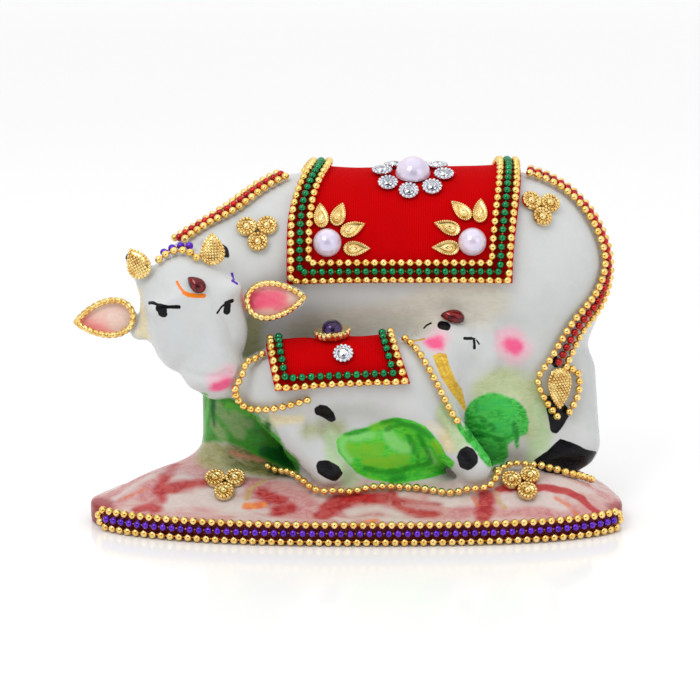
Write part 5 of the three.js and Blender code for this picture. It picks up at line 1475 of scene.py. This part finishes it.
# Thin marks, drawn over the coats: their colour, and routes with the brush's radius.
MARKS = {
    "tilak": (colour(240, 128, 26), [
        ([(177, 282), (180, 287.5), (184, 292.5)], 0.3),
        ([(184, 292.5), (189, 295), (198, 296), (204, 295.6)], 0.5),
    ]),
    "purple_squiggle": (colour(92, 36, 178), [
        ([(232, 274), (234, 279), (232.5, 281)], 0.36),
        ([(233, 281), (237, 283.5)], 0.32),
    ]),
    "nostril": (colour(228, 84, 120), [([(224, 372.5), (228, 371.5)], 0.2)]),
    "gold_line": (colour(206, 160, 50), [([(413, 341), (424, 338.7)], 0.25)]),
    "drawn_black": (colour(10, 10, 14), [
        ([(149, 303), (153, 302.7), (160, 305.5)], 0.35),
        ([(160, 305.5), (168, 307), (179, 307)], 0.45),
        ([(160, 308.5), (162.5, 310.5)], 1.2),
        ([(162, 313.5), (163.5, 314)], 1.0),
        ([(217.5, 313), (222, 306.5), (228, 301.5)], 0.25),
        ([(226, 303), (232, 300.8)], 0.5),
        ([(227.5, 305.5), (227, 311)], 0.95),
        ([(424, 328), (427, 325), (431, 323.2)], 0.2),
        ([(441.5, 325), (446.5, 326.2)], 1.1),
        ([(464.6, 338.3), (468, 338.4), (471.5, 338.5), (475, 338.6)], 0.36),
        ([(474.4, 339), (474.5, 342), (474.6, 345), (474.6, 348)], 0.42),
        ([(476.5, 340), (479, 344)], 0.18),
    ]),
}
MARK_EDGE = 0.14
MARK_FLATNESS = np.array([1, 0.5, 1])

HORN_BLACK = [(-12, 0.5, -15), (-13.5, 1.5, -18.5)], [(11.6, 0, -10.5), (11, 0.8, -13.5)]
HORN_BLACK_RADIUS = 2.8
RIM_PAINT_TOP = 6.0
FILL_DEPTH = 12
FILL_FADE = 0.25
EAR_THINNESS = 3.9
CAST_WHITE = colour(209, 211, 211), colour(201, 204, 204)
GROUND_WASH = colour(210, 192, 186), colour(202, 154, 150)
RIM_BRICK = colour(132, 44, 38), colour(150, 58, 50)
WASH_FROM_Z, WASH_FULL_Z = 16.5, 12.0


def strokes_of(paint):
    return [stroke for coat in paint.values() for stroke in coat[-1]]


def found_routes(paint):
    """Every stroke's route as places on the cast surface, found together."""
    routes = [np.asarray(route, float) for route, _ in strokes_of(paint)]
    shown = [route for route in routes if route.shape[1] == 2]
    places = iter(np.split(seen(np.concatenate(shown)), np.cumsum([len(r) for r in shown])[:-1]))
    return iter([next(places) if route.shape[1] == 2 else settle(route, 0) for route in routes])


def outline_gap(spots, outline):
    """Each spot's distance outside a closed outline. Inside it is negative."""
    nearest, inside = np.full(len(spots), np.inf), np.zeros(len(spots), bool)
    for a, b in zip(outline, np.roll(outline, -1, axis=0)):
        ahead = b - a
        t = np.clip((spots - a) @ ahead / (ahead @ ahead), 0, 1)
        nearest = np.minimum(nearest, np.linalg.norm(spots - a - t[:, None] * ahead, axis=1))
        crossed = (a[1] > spots[:, 1]) != (b[1] > spots[:, 1])
        where_crossed = a[0] + (spots[:, 1] - a[1]) * ahead[0] / (ahead[1] if ahead[1] else 1)
        inside ^= crossed & (spots[:, 0] < where_crossed)
    return np.where(inside, -nearest, nearest)


def paint_gaps(points):
    """How far each point of the cast lies outside each coat, in millimetres, by the coat's name."""
    offset = points - VIEW_PLACE
    depth = offset @ VIEW_FORWARD
    px_per_mm = VIEW_FOCUS_PX / depth
    spots = PHOTO_PX / 2 + np.stack([offset @ VIEW_RIGHT, -offset @ VIEW_UP], 1) * px_per_mm[:, None]
    routes, gaps = found_routes(PAINT), {}
    for name, (*_, strokes) in PAINT.items():
        gap = np.full(len(points), np.inf)
        for outline, radius in strokes:
            route = next(routes)
            if radius == FILLED:
                middle = np.median((route - VIEW_PLACE) @ VIEW_FORWARD)
                aside = outline_gap(spots, np.asarray(outline, float)) / px_per_mm
                behind = (np.abs(depth - middle) - FILL_DEPTH) * FILL_FADE
                gap = np.minimum(gap, np.maximum(aside, behind))
                continue
            near = points
            if name.startswith("ear"):
                face = min(EARS.values(), key=lambda ear: np.linalg.norm(ear.centre - route[0])).face
                near = points + ((points - route[0]) @ face)[:, None] * face * (EAR_THINNESS - 1)
            gap = np.minimum(gap, near_route(near, route) - radius)
        gaps[name] = gap
    for horn in HORN_BLACK:
        near_horn = near_route(points, np.array([on_head(*spot) for spot in horn]))
        gaps["black"] = np.minimum(gaps["black"], near_horn - HORN_BLACK_RADIUS)
    return gaps


def cast_material():
    """The cast's white, its painted ground, and each coat where its attribute of the coat's name is low."""
    material, g, shader, place = new_material("Painted cast")

    def drift(spots, grain, detail, amount):
        wave = g.noise(spots, grain, detail, 0.5, 0.4).outputs["Fac"]
        return g.math("MULTIPLY", g.math("SUBTRACT", wave, 0.5), amount)

    flowing = g.vector("MULTIPLY", place, (0.55, 1.3, 1.3))
    wander = {
        CRISP: drift(place, 0.8, 2, CRISP),
        BRUSHED: drift(place, 0.3, 3, BRUSHED),
        LOOSE: drift(flowing, 0.14, 4, LOOSE),
    }
    uneven = g.group(UNEVENNESS, Place=place, Grain=0.06, Low=0.2, High=0.34)
    streaks = g.noise(g.vector("MULTIPLY", place, (0.3, 0.3, 0.75)), 1.0, 4, 0.6, 1.2).outputs["Fac"]
    tone = g.smooth(streaks, 0.38, 0.6)
    surface = g.mix(uneven["Tone"], *CAST_WHITE)

    parts = g.node("ShaderNodeSeparateXYZ")
    g.feed(parts.inputs[0], place)
    low = g.smooth(parts.outputs["Z"], WASH_FROM_Z, WASH_FULL_Z)
    clouds = g.noise(flowing, 0.09, 4, 0.55, 1.0).outputs["Fac"]
    ground = g.mix(g.smooth(clouds, 0.4, 0.6), *GROUND_WASH)
    surface = g.mix(low, surface, ground)

    for name, (first, second, edge_wander, edge, cover, _) in PAINT.items():
        gap = g.node("ShaderNodeAttribute", attribute_name=name).outputs["Fac"]
        mask = g.math("MULTIPLY", g.smooth(g.math("ADD", gap, wander[edge_wander]), edge, 0), cover)
        surface = g.mix(mask, surface, g.mix(tone, first, second))
    drawn = g.group(WOBBLE, Place=place, Grain=0.9, Amount=0.3)["Place"]
    drawn = g.vector("MULTIPLY", drawn, tuple(MARK_FLATNESS))
    routes = found_routes(MARKS)
    for mark, strokes in MARKS.values():
        mask = None
        for _, radius in strokes:
            route = next(routes) * MARK_FLATNESS
            for start, end in zip(route, route[1:]):
                stroke = g.group(BRUSH, Place=drawn, From=tuple(start), To=tuple(end), Radius=radius,
                                 Edge=MARK_EDGE)["Mask"]
                mask = stroke if mask is None else g.math("MAXIMUM", mask, stroke)
        surface = g.mix(mask, surface, mark)
    rim = g.smooth(parts.outputs["Z"], RIM_PAINT_TOP + 0.5, RIM_PAINT_TOP - 0.6)
    brick = g.mix(tone, *RIM_BRICK)
    g.feed(shader.inputs["Base Color"], g.mix(rim, surface, brick))
    g.feed(shader.inputs["Roughness"], uneven["Gloss"])
    shader.inputs["Subsurface Weight"].default_value = 0.15
    shader.inputs["Subsurface Radius"].default_value = (1.0, 0.8, 0.6)
    shader.inputs["Subsurface Scale"].default_value = 0.002
    shader.inputs["Specular IOR Level"].default_value = 0.12
    shader.inputs["Coat Weight"].default_value = 0.08
    shader.inputs["Coat Roughness"].default_value = 0.1
    hand = g.noise(place, 0.35, 2, 0.5).outputs["Fac"]
    bump(g, shader, g.math("ADD", hand, g.math("MULTIPLY", streaks, 0.3)), 0.07)
    return material


GOLD = plated("Bright gold", colour(250, 220, 142), colour(236, 194, 104), 0.12, 0.24)
WORN_GOLD = plated("Stamped gold", colour(244, 222, 158), colour(222, 186, 116), 0.16, 0.28, 0.03)
PALE_GOLD = plated("Twisted gold", colour(246, 216, 142), colour(222, 180, 102), 0.14, 0.24, 0.03)
WIRE_COPPER = plated("Copper wire", colour(206, 130, 70), colour(170, 92, 48), 0.2, 0.36)
GREEN = plated("Green lacquered metal", colour(0, 142, 84), colour(0, 112, 66), 0.16, 0.3, 0.03, 0.5)
PURPLE = plated("Violet lacquered metal", colour(104, 46, 204), colour(78, 28, 174), 0.16, 0.3, 0.03, 0.5)
RED = plated("Red lacquered metal", colour(204, 34, 34), colour(158, 16, 20), 0.16, 0.3, 0.03, 0.5)
SILVER = plated("Silver", colour(222, 224, 230), colour(196, 198, 206), 0.14, 0.28)
# The stones' bright and dark tones are painted reflections on their facets.
CLEAR_STONE = stone_material("Clear stone", colour(246, 248, 252), colour(112, 116, 128), 1.0)
VIOLET_STONE = stone_material("Violet stone", colour(70, 34, 104), colour(26, 10, 46), 0.5, 0.4)
GARNET = stone_material("Garnet stone", colour(128, 4, 14), colour(52, 2, 8), 0.5, 0.3)
VELVET = velvet_material()
PEARL = pearl_material()
CAST_PAINT = cast_material()


skin = cast_parts()
cast = make_piece("painted_cast", skin, [CAST_PAINT], "glazed_cast", ["statue"])
for name, gap in paint_gaps(skin.all_points()).items():
    cast.data.attributes.new(name, "FLOAT", "POINT").data.foreach_set("value", gap.astype(np.float32))

for name, cloth, across, around in (("cow_cloth", cow_cloth, 84, 130), ("calf_cloth", calf_cloth, 56, 60)):
    parts = cloth_parts(cloth, across, around)
    make_piece(f"{name}_velvet", parts, [VELVET], "velvet", [name])


def add_row(name, route, material, slot, closed=False, pitch=BEAD_PITCH):
    parts = bead_parts(route, closed, pitch)
    return make_piece(f"{name}_beads", parts, [material, WIRE_COPPER], slot, [name])


CLOTH_MARGIN = 1.3
GOLD_ROW, GREEN_ROW = (GOLD, "gold_trim"), (GREEN, "green_beads")
HEM_ROWS = {
    "cow": (cow_cloth, True, {"outer_gold": GOLD_ROW, "green": GREEN_ROW, "inner_gold": GOLD_ROW}),
    "calf": (calf_cloth, False, {"gold": GOLD_ROW, "green": GREEN_ROW}),
}
hems = {"cow_cloth": [], "calf_cloth": []}
for animal, (cloth, closed, rows) in HEM_ROWS.items():
    for i, (row, (material, slot)) in enumerate(rows.items()):
        route = cloth.hem_route(CLOTH_MARGIN + i * ROW_PITCH, BEADS_ON_CLOTH, closed)
        beads = add_row(f"{animal}_hem_{row}", route, material, slot, closed, HEM_BEAD_PITCH)
        hems[f"{animal}_cloth"].append(beads)

# Three rows along the neck: the near one is led through given places, the others keep beside it.
neck_near = settled_route([
    (-46, -14.6, 81.5), (-39.8, -9.3, 85.2), (-32.3, -6, 88.7), (-24.8, -0.7, 93.6), (-18.4, 2.6, 96.9)])
add_row("neck_gold_near", neck_near, GOLD, "gold_trim")
add_row("neck_red", beside(neck_near, SPINE_ROW_PITCH), RED, "red_beads")
add_row("neck_gold_far", beside(neck_near, 2 * SPINE_ROW_PITCH), GOLD, "gold_trim")

# Three rows down the tail. The gold ones run on round the pad at its end.
BESIDE_CLOTH_GAP = 2
TAIL_PAD_LENGTH = 13
TAIL_PAD_WIDTH = 8.4
PAD_LOOP_GAP = 0.6
cow_cloth_end = cow_cloth.start + cow_cloth.length
TAIL_ROUTE = [
    (cow_cloth_end + cow_cloth.end_lean[0] + BESIDE_CLOTH_GAP, 5, 96.2), (61.3, 4.2, 92.1),
    (69.3, 2.2, 83.7), (72.8, 0.5, 73.5), (70.8, -3, 66.5), (63.2, -9.4, 57.8), (57.2, -10.9, 47.4)]
PAD_SPOT = np.array([60, -9.6, 37.8])
pad_reach = np.array([TAIL_PAD_WIDTH / 2, 0, TAIL_PAD_LENGTH / 2]) + PAD_LOOP_GAP + BEAD / 2
round_pad = [PAD_SPOT + pad_reach * (across, 0, up) for across, up in
             ((-1.09, 0.42), (-0.77, -0.37), (-0.12, -0.98), (1.13, 0.5), (1.1, -0.16), (0.53, -0.85))]
tail_lead = settled_route(TAIL_ROUTE)
tail_far = beside(tail_lead, 2 * SPINE_ROW_PITCH)
tail_far_end = settled_route([tail_far[-1], *round_pad[3:]])
add_row("tail_gold_near", settled_route([*TAIL_ROUTE, *round_pad[:3]]), GOLD, "gold_trim")
add_row("tail_red", beside(tail_lead, SPINE_ROW_PITCH), RED, "red_beads")
add_row("tail_gold_far", np.concatenate([tail_far, tail_far_end[1:]]), GOLD, "gold_trim")

# Single strands, each led through given places.
STRANDS = {
    "crown_gold": [(-52.6, -24.2, 77.4), (-49.6, -22, 79), (-45.4, -23, 79.4), (-42.4, -25.4, 78.2)],
    "calf_rump_strand": [
        (-24.6, -26.2, 52.1), (-29.6, -29.9, 48.7), (-32, -30.9, 43), (-29.4, -28, 37.2),
        (-23.3, -30.2, 37), (-12, -30.4, 39.7)],
    "calf_neck_strand": [
        (15.4, -22.9, 55), (17.8, -25.4, 52.8), (21.4, -28.4, 48.2), (25, -28, 41), (29.6, -26.9, 32.5)],
    "ground_strand": [
        (-23.5, -15.5, 15.6), (-17, -20, 14.9), (-9, -26.5, 13.6), (-2, -28.6, 12.8), (6.2, -26, 13),
        (18, -26, 12.8), (30, -28.4, 12.8), (38.5, -25, 14), (42, -17.5, 14.6), (46.5, -12.2, 14.8),
        (53.5, -12, 15), (61.5, -15.6, 13.4), (70.5, -8.6, 11.5)],
}
for name, points in STRANDS.items():
    add_row(name, settled_route(points), GOLD, "gold_trim")
crown_purple = settled_route([(-51.5, -20, 78.6), (-48.4, -18.8, 79.8), (-44.6, -20, 80.4)])
add_row("crown_purple", crown_purple, PURPLE, "purple_beads")

# Rows round the front of the rim: gold above and below, joined at both ends, round a violet one.
RIM_ROWS_FROM, RIM_ROWS_TO = math.radians(188.5), math.radians(351)
RIM_ROWS_LIFT = 0.3
RIM_STEP = 0.5
RIM_CURVE_STEPS = 500
WALK_TURNS = 80
WALK_CARE = 0.9


def rim_curve():
    """A line round the front of the base, a bead's middle out from the rim."""
    angle = np.linspace(RIM_ROWS_FROM, RIM_ROWS_TO, RIM_CURVE_STEPS)
    way = np.stack([np.cos(angle), np.sin(angle)], 1)
    p = np.tile(np.array([BASE_MIDDLE_X, BASE_WIDEST_Y], float), (len(angle), 1))
    for _ in range(WALK_TURNS):
        p += way * ((BEADS_ON_BODY - outline_distance(p[:, 0], p[:, 1])) * WALK_CARE)[:, None]
    return evenly(p @ np.array([[1, 0, 0], [0, 1, 0]]), RIM_STEP)


def rim_row(curve, inset, row):
    """The curve's middle part, a number of row pitches short at each end, at the row's height."""
    skip = round(inset * ROW_PITCH / RIM_STEP)
    line = curve[skip:len(curve) - skip].copy()
    line[:, 2] = RIM_ROWS_LIFT + BEAD / 2 + row * ROW_PITCH
    return line


curve = rim_curve()
middle_row = rim_row(curve, 0, 1)
rim_gold = np.concatenate([rim_row(curve, 1, 2), middle_row[-1:], rim_row(curve, 1, 0)[::-1], middle_row[:1]])
add_row("base_gold", rim_gold, GOLD, "gold_trim", closed=True, pitch=RIM_BEAD_PITCH)
add_row("base_purple", rim_row(curve, 1.6, 1), PURPLE, "purple_beads", pitch=RIM_BEAD_PITCH)


def add_small(name, parts, materials, slot):
    return make_piece(f"{name}_piece", parts, materials, slot, [name], sharp=True)


# Pearls on the cow's cloth, with silver stones round the one on the back and gold drops by the others.
TOP_PEARL = 10
SIDE_PEARL = 8
PEARL_GAP = 0.6
BOW_INSET = 11.4
RING_STONES = 8
STONE_RING_GAP = 0.95
STONE_RING_TURN = math.radians(-9)
on_cloth = []
top_of_cloth = cow_cloth.point(0.5, 0.42, ON_CLOTH)
top_pearl = seated(pearl_parts(TOP_PEARL), top_of_cloth, ON_CLOTH)
on_cloth.append(add_small("top_pearl", top_pearl, [PEARL], "pearl"))
top_out = normal_at(top_of_cloth)
ring_x = unit(np.array([1, 0, 0]) - top_out[0] * top_out)
ring_y = np.cross(top_out, ring_x)
stone_ring = max((TOP_PEARL + SILVER_STONE) / 2 + STONE_RING_GAP,
                 (SILVER_STONE + TRIM_GAP) / 2 / math.sin(math.pi / RING_STONES))
for i in range(RING_STONES):
    angle = i / RING_STONES * 2 * math.pi + STONE_RING_TURN
    spot = top_of_cloth + stone_ring * (ring_x * math.cos(angle) + ring_y * math.sin(angle))
    parts = seated(silver_stone_parts(), spot, ON_CLOTH)
    on_cloth.append(add_small(f"silver_stone_{i + 1}", parts, [SILVER, CLEAR_STONE], "silver_stone"))


FLANK_START_Y = -50
FLANK_TURNS = 60


def on_flank(x, z, height):
    """A place on the cow's front flank, found by going straight in from in front."""
    p = np.array([x, FLANK_START_Y, z], float)
    for _ in range(FLANK_TURNS):
        p[1] += WALK_CARE * (cast_distance(p, cow_cloth.under) - height)
    return p


# Each drop's place from its pearl, and the way its tip points.
DROP_BOWS = {
    "left": (cow_cloth.start + BOW_INSET, [
        ((-1.8, 7.2), (-0.05, 1)), ((3.2, 7.4), (0.35, 0.95)),
        ((7.2, 3.5), (0.9, 0.45)), ((8.3, -1.8), (1, 0.02))]),
    "right": (cow_cloth_end - BOW_INSET, [
        ((2.3, 8.2), (0.03, 1)), ((-3.2, 8.3), (-0.6, 0.8)),
        ((-7.1, 3.9), (-0.93, 0.4)), ((-7.5, -1.6), (-1, 0.02))]),
}
inner_row = (CLOTH_MARGIN + 2 * ROW_PITCH) / cow_cloth.turn_length(BEADS_ON_CLOTH)
inner_row_z = cow_cloth.point(0.5, inner_row, BEADS_ON_CLOTH)[2]
pearl_z = inner_row_z + BEAD / 2 + PEARL_GAP + SIDE_PEARL / 2
for side, (pearl_x, drops) in DROP_BOWS.items():
    pearl = seated(pearl_parts(SIDE_PEARL), on_flank(pearl_x, pearl_z, ON_CLOTH), ON_CLOTH)
    on_cloth.append(add_small(f"{side}_pearl", pearl, [PEARL], "pearl"))
    for i, ((x, z), (tip_x, tip_z)) in enumerate(drops):
        spot = on_flank(pearl_x + x, pearl_z + z, ON_CLOTH)
        parts = seated(gold_drop_parts(), spot, ON_CLOTH, (tip_x, 0, tip_z))
        on_cloth.append(add_small(f"{side}_drop_{i + 1}", parts, [WORN_GOLD], "gold_trim"))

# Stones on the calf's cloth.
side_stone = seated(silver_stone_parts(), calf_cloth.point(0.57, 0.44, ON_CLOTH), ON_CLOTH)
top_stone = seated(calf_top_stone_parts(), calf_cloth.point(0.52, 0.865, ON_CLOTH), ON_CLOTH)
on_calf_cloth = [
    add_small("calf_side_stone", side_stone, [SILVER, CLEAR_STONE], "silver_stone"),
    add_small("calf_top_stone", top_stone, [WORN_GOLD, VIOLET_STONE], "gold_trim"),
]

# Stones on both foreheads, and pads on the horns and on the tail's end.
forehead = seated(garnet_parts(6, 4.6, 2), (-42.1, -31.4, 72.2), ON_BODY, (-0.7, 0, 0.7))
add_small("forehead_stone", forehead, [GARNET], "garnet_stone")
calf_forehead = seated(garnet_parts(7, 5, 2), (28.8, -14, 59), ON_BODY, (-1, 0, 0))
add_small("calf_forehead_stone", calf_forehead, [GARNET], "garnet_stone")
horn_pad = grain_pad_parts(9.4, 7.6, 0.5, 0.39, upright=True)
for name, spot, points_to, facing in (
        ("left_horn_pad", (-57.6, -22, 76.4), (-0.5, 0, 0.86), (-0.25, -0.95, 0.2)),
        ("right_horn_pad", (-38, -16, 78.3), (-0.05, 0, 1), (0, -0.95, 0.3))):
    add_small(name, seated(horn_pad, spot, ON_BODY, points_to, unit(facing)), [WORN_GOLD], "gold_trim")
tail_pad = grain_pad_parts(TAIL_PAD_LENGTH, TAIL_PAD_WIDTH, 0.5, 0.45, upright=False)
add_small("tail_pad", seated(tail_pad, PAD_SPOT, ON_BODY, (0.05, 0, -1)), [WORN_GOLD], "gold_trim")

EAR_RING_GAP = 0.5
for side, ear in EARS.items():
    ring = seated(ear_ring_parts(), ear.centre, EAR_RING_GAP, ear.tip, ear.face)
    add_small(f"{side}_ear_ring", ring, [PALE_GOLD], "gold_trim")

# Trefoils: where each stands, the way one of its studs points, and how high its relief is.
trefoil_reach = TREFOIL_SPREAD + TREFOIL_STUD / 2
shoulder_x = cow_cloth.start - trefoil_reach - BESIDE_CLOTH_GAP
rump_x = cow_cloth_end + trefoil_reach + BESIDE_CLOTH_GAP
GROUND_RELIEF = 1.6
TREFOILS = {
    "shoulder_trefoil": (on_flank(shoulder_x, 83.5, ON_BODY), (0.77, 0, 0.64), 1),
    "rump_trefoil": (on_flank(rump_x, 89.6, ON_BODY), (-0.8, 0, 0.6), 1),
    "ground_trefoil_left": ((-35.3, -23, 13), (-0.05, -1, 0), GROUND_RELIEF),
    "ground_trefoil_right": ((48.6, -23, 12.6), (0.35, -1, 0), GROUND_RELIEF),
}
for name, (spot, points_to, lift) in TREFOILS.items():
    add_small(name, seated(trefoil_parts(lift), spot, ON_BODY, points_to), [WORN_GOLD], "gold_trim")

for name, cloth, glued in (("cow_cloth", cow_cloth, on_cloth), ("calf_cloth", calf_cloth, on_calf_cloth)):
    around = cloth.point(0.5, np.linspace(0, 1, 200), GLUE_GAP + CLOTH_THICKNESS / 2)
    turn_length = np.linalg.norm(np.diff(around, axis=0), axis=1).sum()


# Studio: a pale floor, a white surround that is open towards the camera, and soft lights.
SURROUND = 0.9
OPENING = 0.12
OPENING_WAY = unit([0, -1, 0.12])
FLOOR_REACH = 8.0
FLOOR_DROP = 0.05
LAMPS = {
    "key": ((-0.35, -0.6, 0.7), 0.35, 2.0),
    "fill": ((0.6, -0.6, 0.35), 0.5, 0.5),
}
LAMPS_AIM = Vector((0, 0, 0.05))
OVERHEAD_POWER, OVERHEAD_SPREAD = 0.5, math.radians(80)


def studio():
    world = bpy.data.worlds.new("Studio")
    bpy.context.scene.world = world
    world.use_nodes = True
    g = Graph(world.node_tree)
    background = world.node_tree.nodes["Background"]
    way = g.node("ShaderNodeTexCoord").outputs["Generated"]
    towards = g.vector("DOT_PRODUCT", g.vector("NORMALIZE", way), tuple(OPENING_WAY))
    g.feed(background.inputs["Color"], (1, 1, 1, 1))
    g.feed(background.inputs["Strength"], g.math(
        "SUBTRACT", SURROUND, g.math("MULTIPLY", g.smooth(towards, 0.86, 0.97), SURROUND - OPENING)))

    mesh = bpy.data.meshes.new("floor")
    corners = [(x * FLOOR_REACH, y * FLOOR_REACH, 0) for x, y in ((-1, -1), (1, -1), (1, 1), (-1, 1))]
    mesh.from_pydata(corners, [], [(0, 1, 2, 3)])
    floor = bpy.data.objects.new("floor", mesh)
    floor.location.z = -FLOOR_DROP * MM
    bpy.context.scene.collection.objects.link(floor)
    material = bpy.data.materials.new("Pale floor")
    material.use_nodes = True
    shader = material.node_tree.nodes["Principled BSDF"]
    shader.inputs["Base Color"].default_value = (0.98, 0.98, 0.98, 1)
    shader.inputs["Roughness"].default_value = 0.12
    shader.inputs["Specular IOR Level"].default_value = 0.3
    mesh.materials.append(material)

    overhead = bpy.data.lights.new("overhead", "SUN")
    overhead.energy = OVERHEAD_POWER
    overhead.angle = OVERHEAD_SPREAD
    lamp = bpy.data.objects.new("overhead", overhead)
    bpy.context.scene.collection.objects.link(lamp)

    for name, (place, size, power) in LAMPS.items():
        light = bpy.data.lights.new(name, "AREA")
        light.size = size
        light.energy = power
        lamp = bpy.data.objects.new(name, light)
        lamp.location = place
        lamp.rotation_euler = (LAMPS_AIM - lamp.location).to_track_quat("-Z", "Y").to_euler()
        bpy.context.scene.collection.objects.link(lamp)


def photo_camera():
    lens = bpy.data.cameras.new("camera")
    lens.sensor_width = SENSOR_MM
    lens.lens = VIEW_FOCUS_PX / PHOTO_PX * SENSOR_MM
    lens.clip_start = 0.01
    camera = bpy.data.objects.new("camera", lens)
    camera.location = (VIEW_PLACE + FIGURE_SHIFT) * MM
    camera.rotation_euler = Vector(VIEW_FORWARD).to_track_quat("-Z", "Y").to_euler()
    bpy.context.scene.collection.objects.link(camera)
    bpy.context.scene.camera = camera


studio()
photo_camera()
bpy.context.scene.view_settings.view_transform = "Standard"
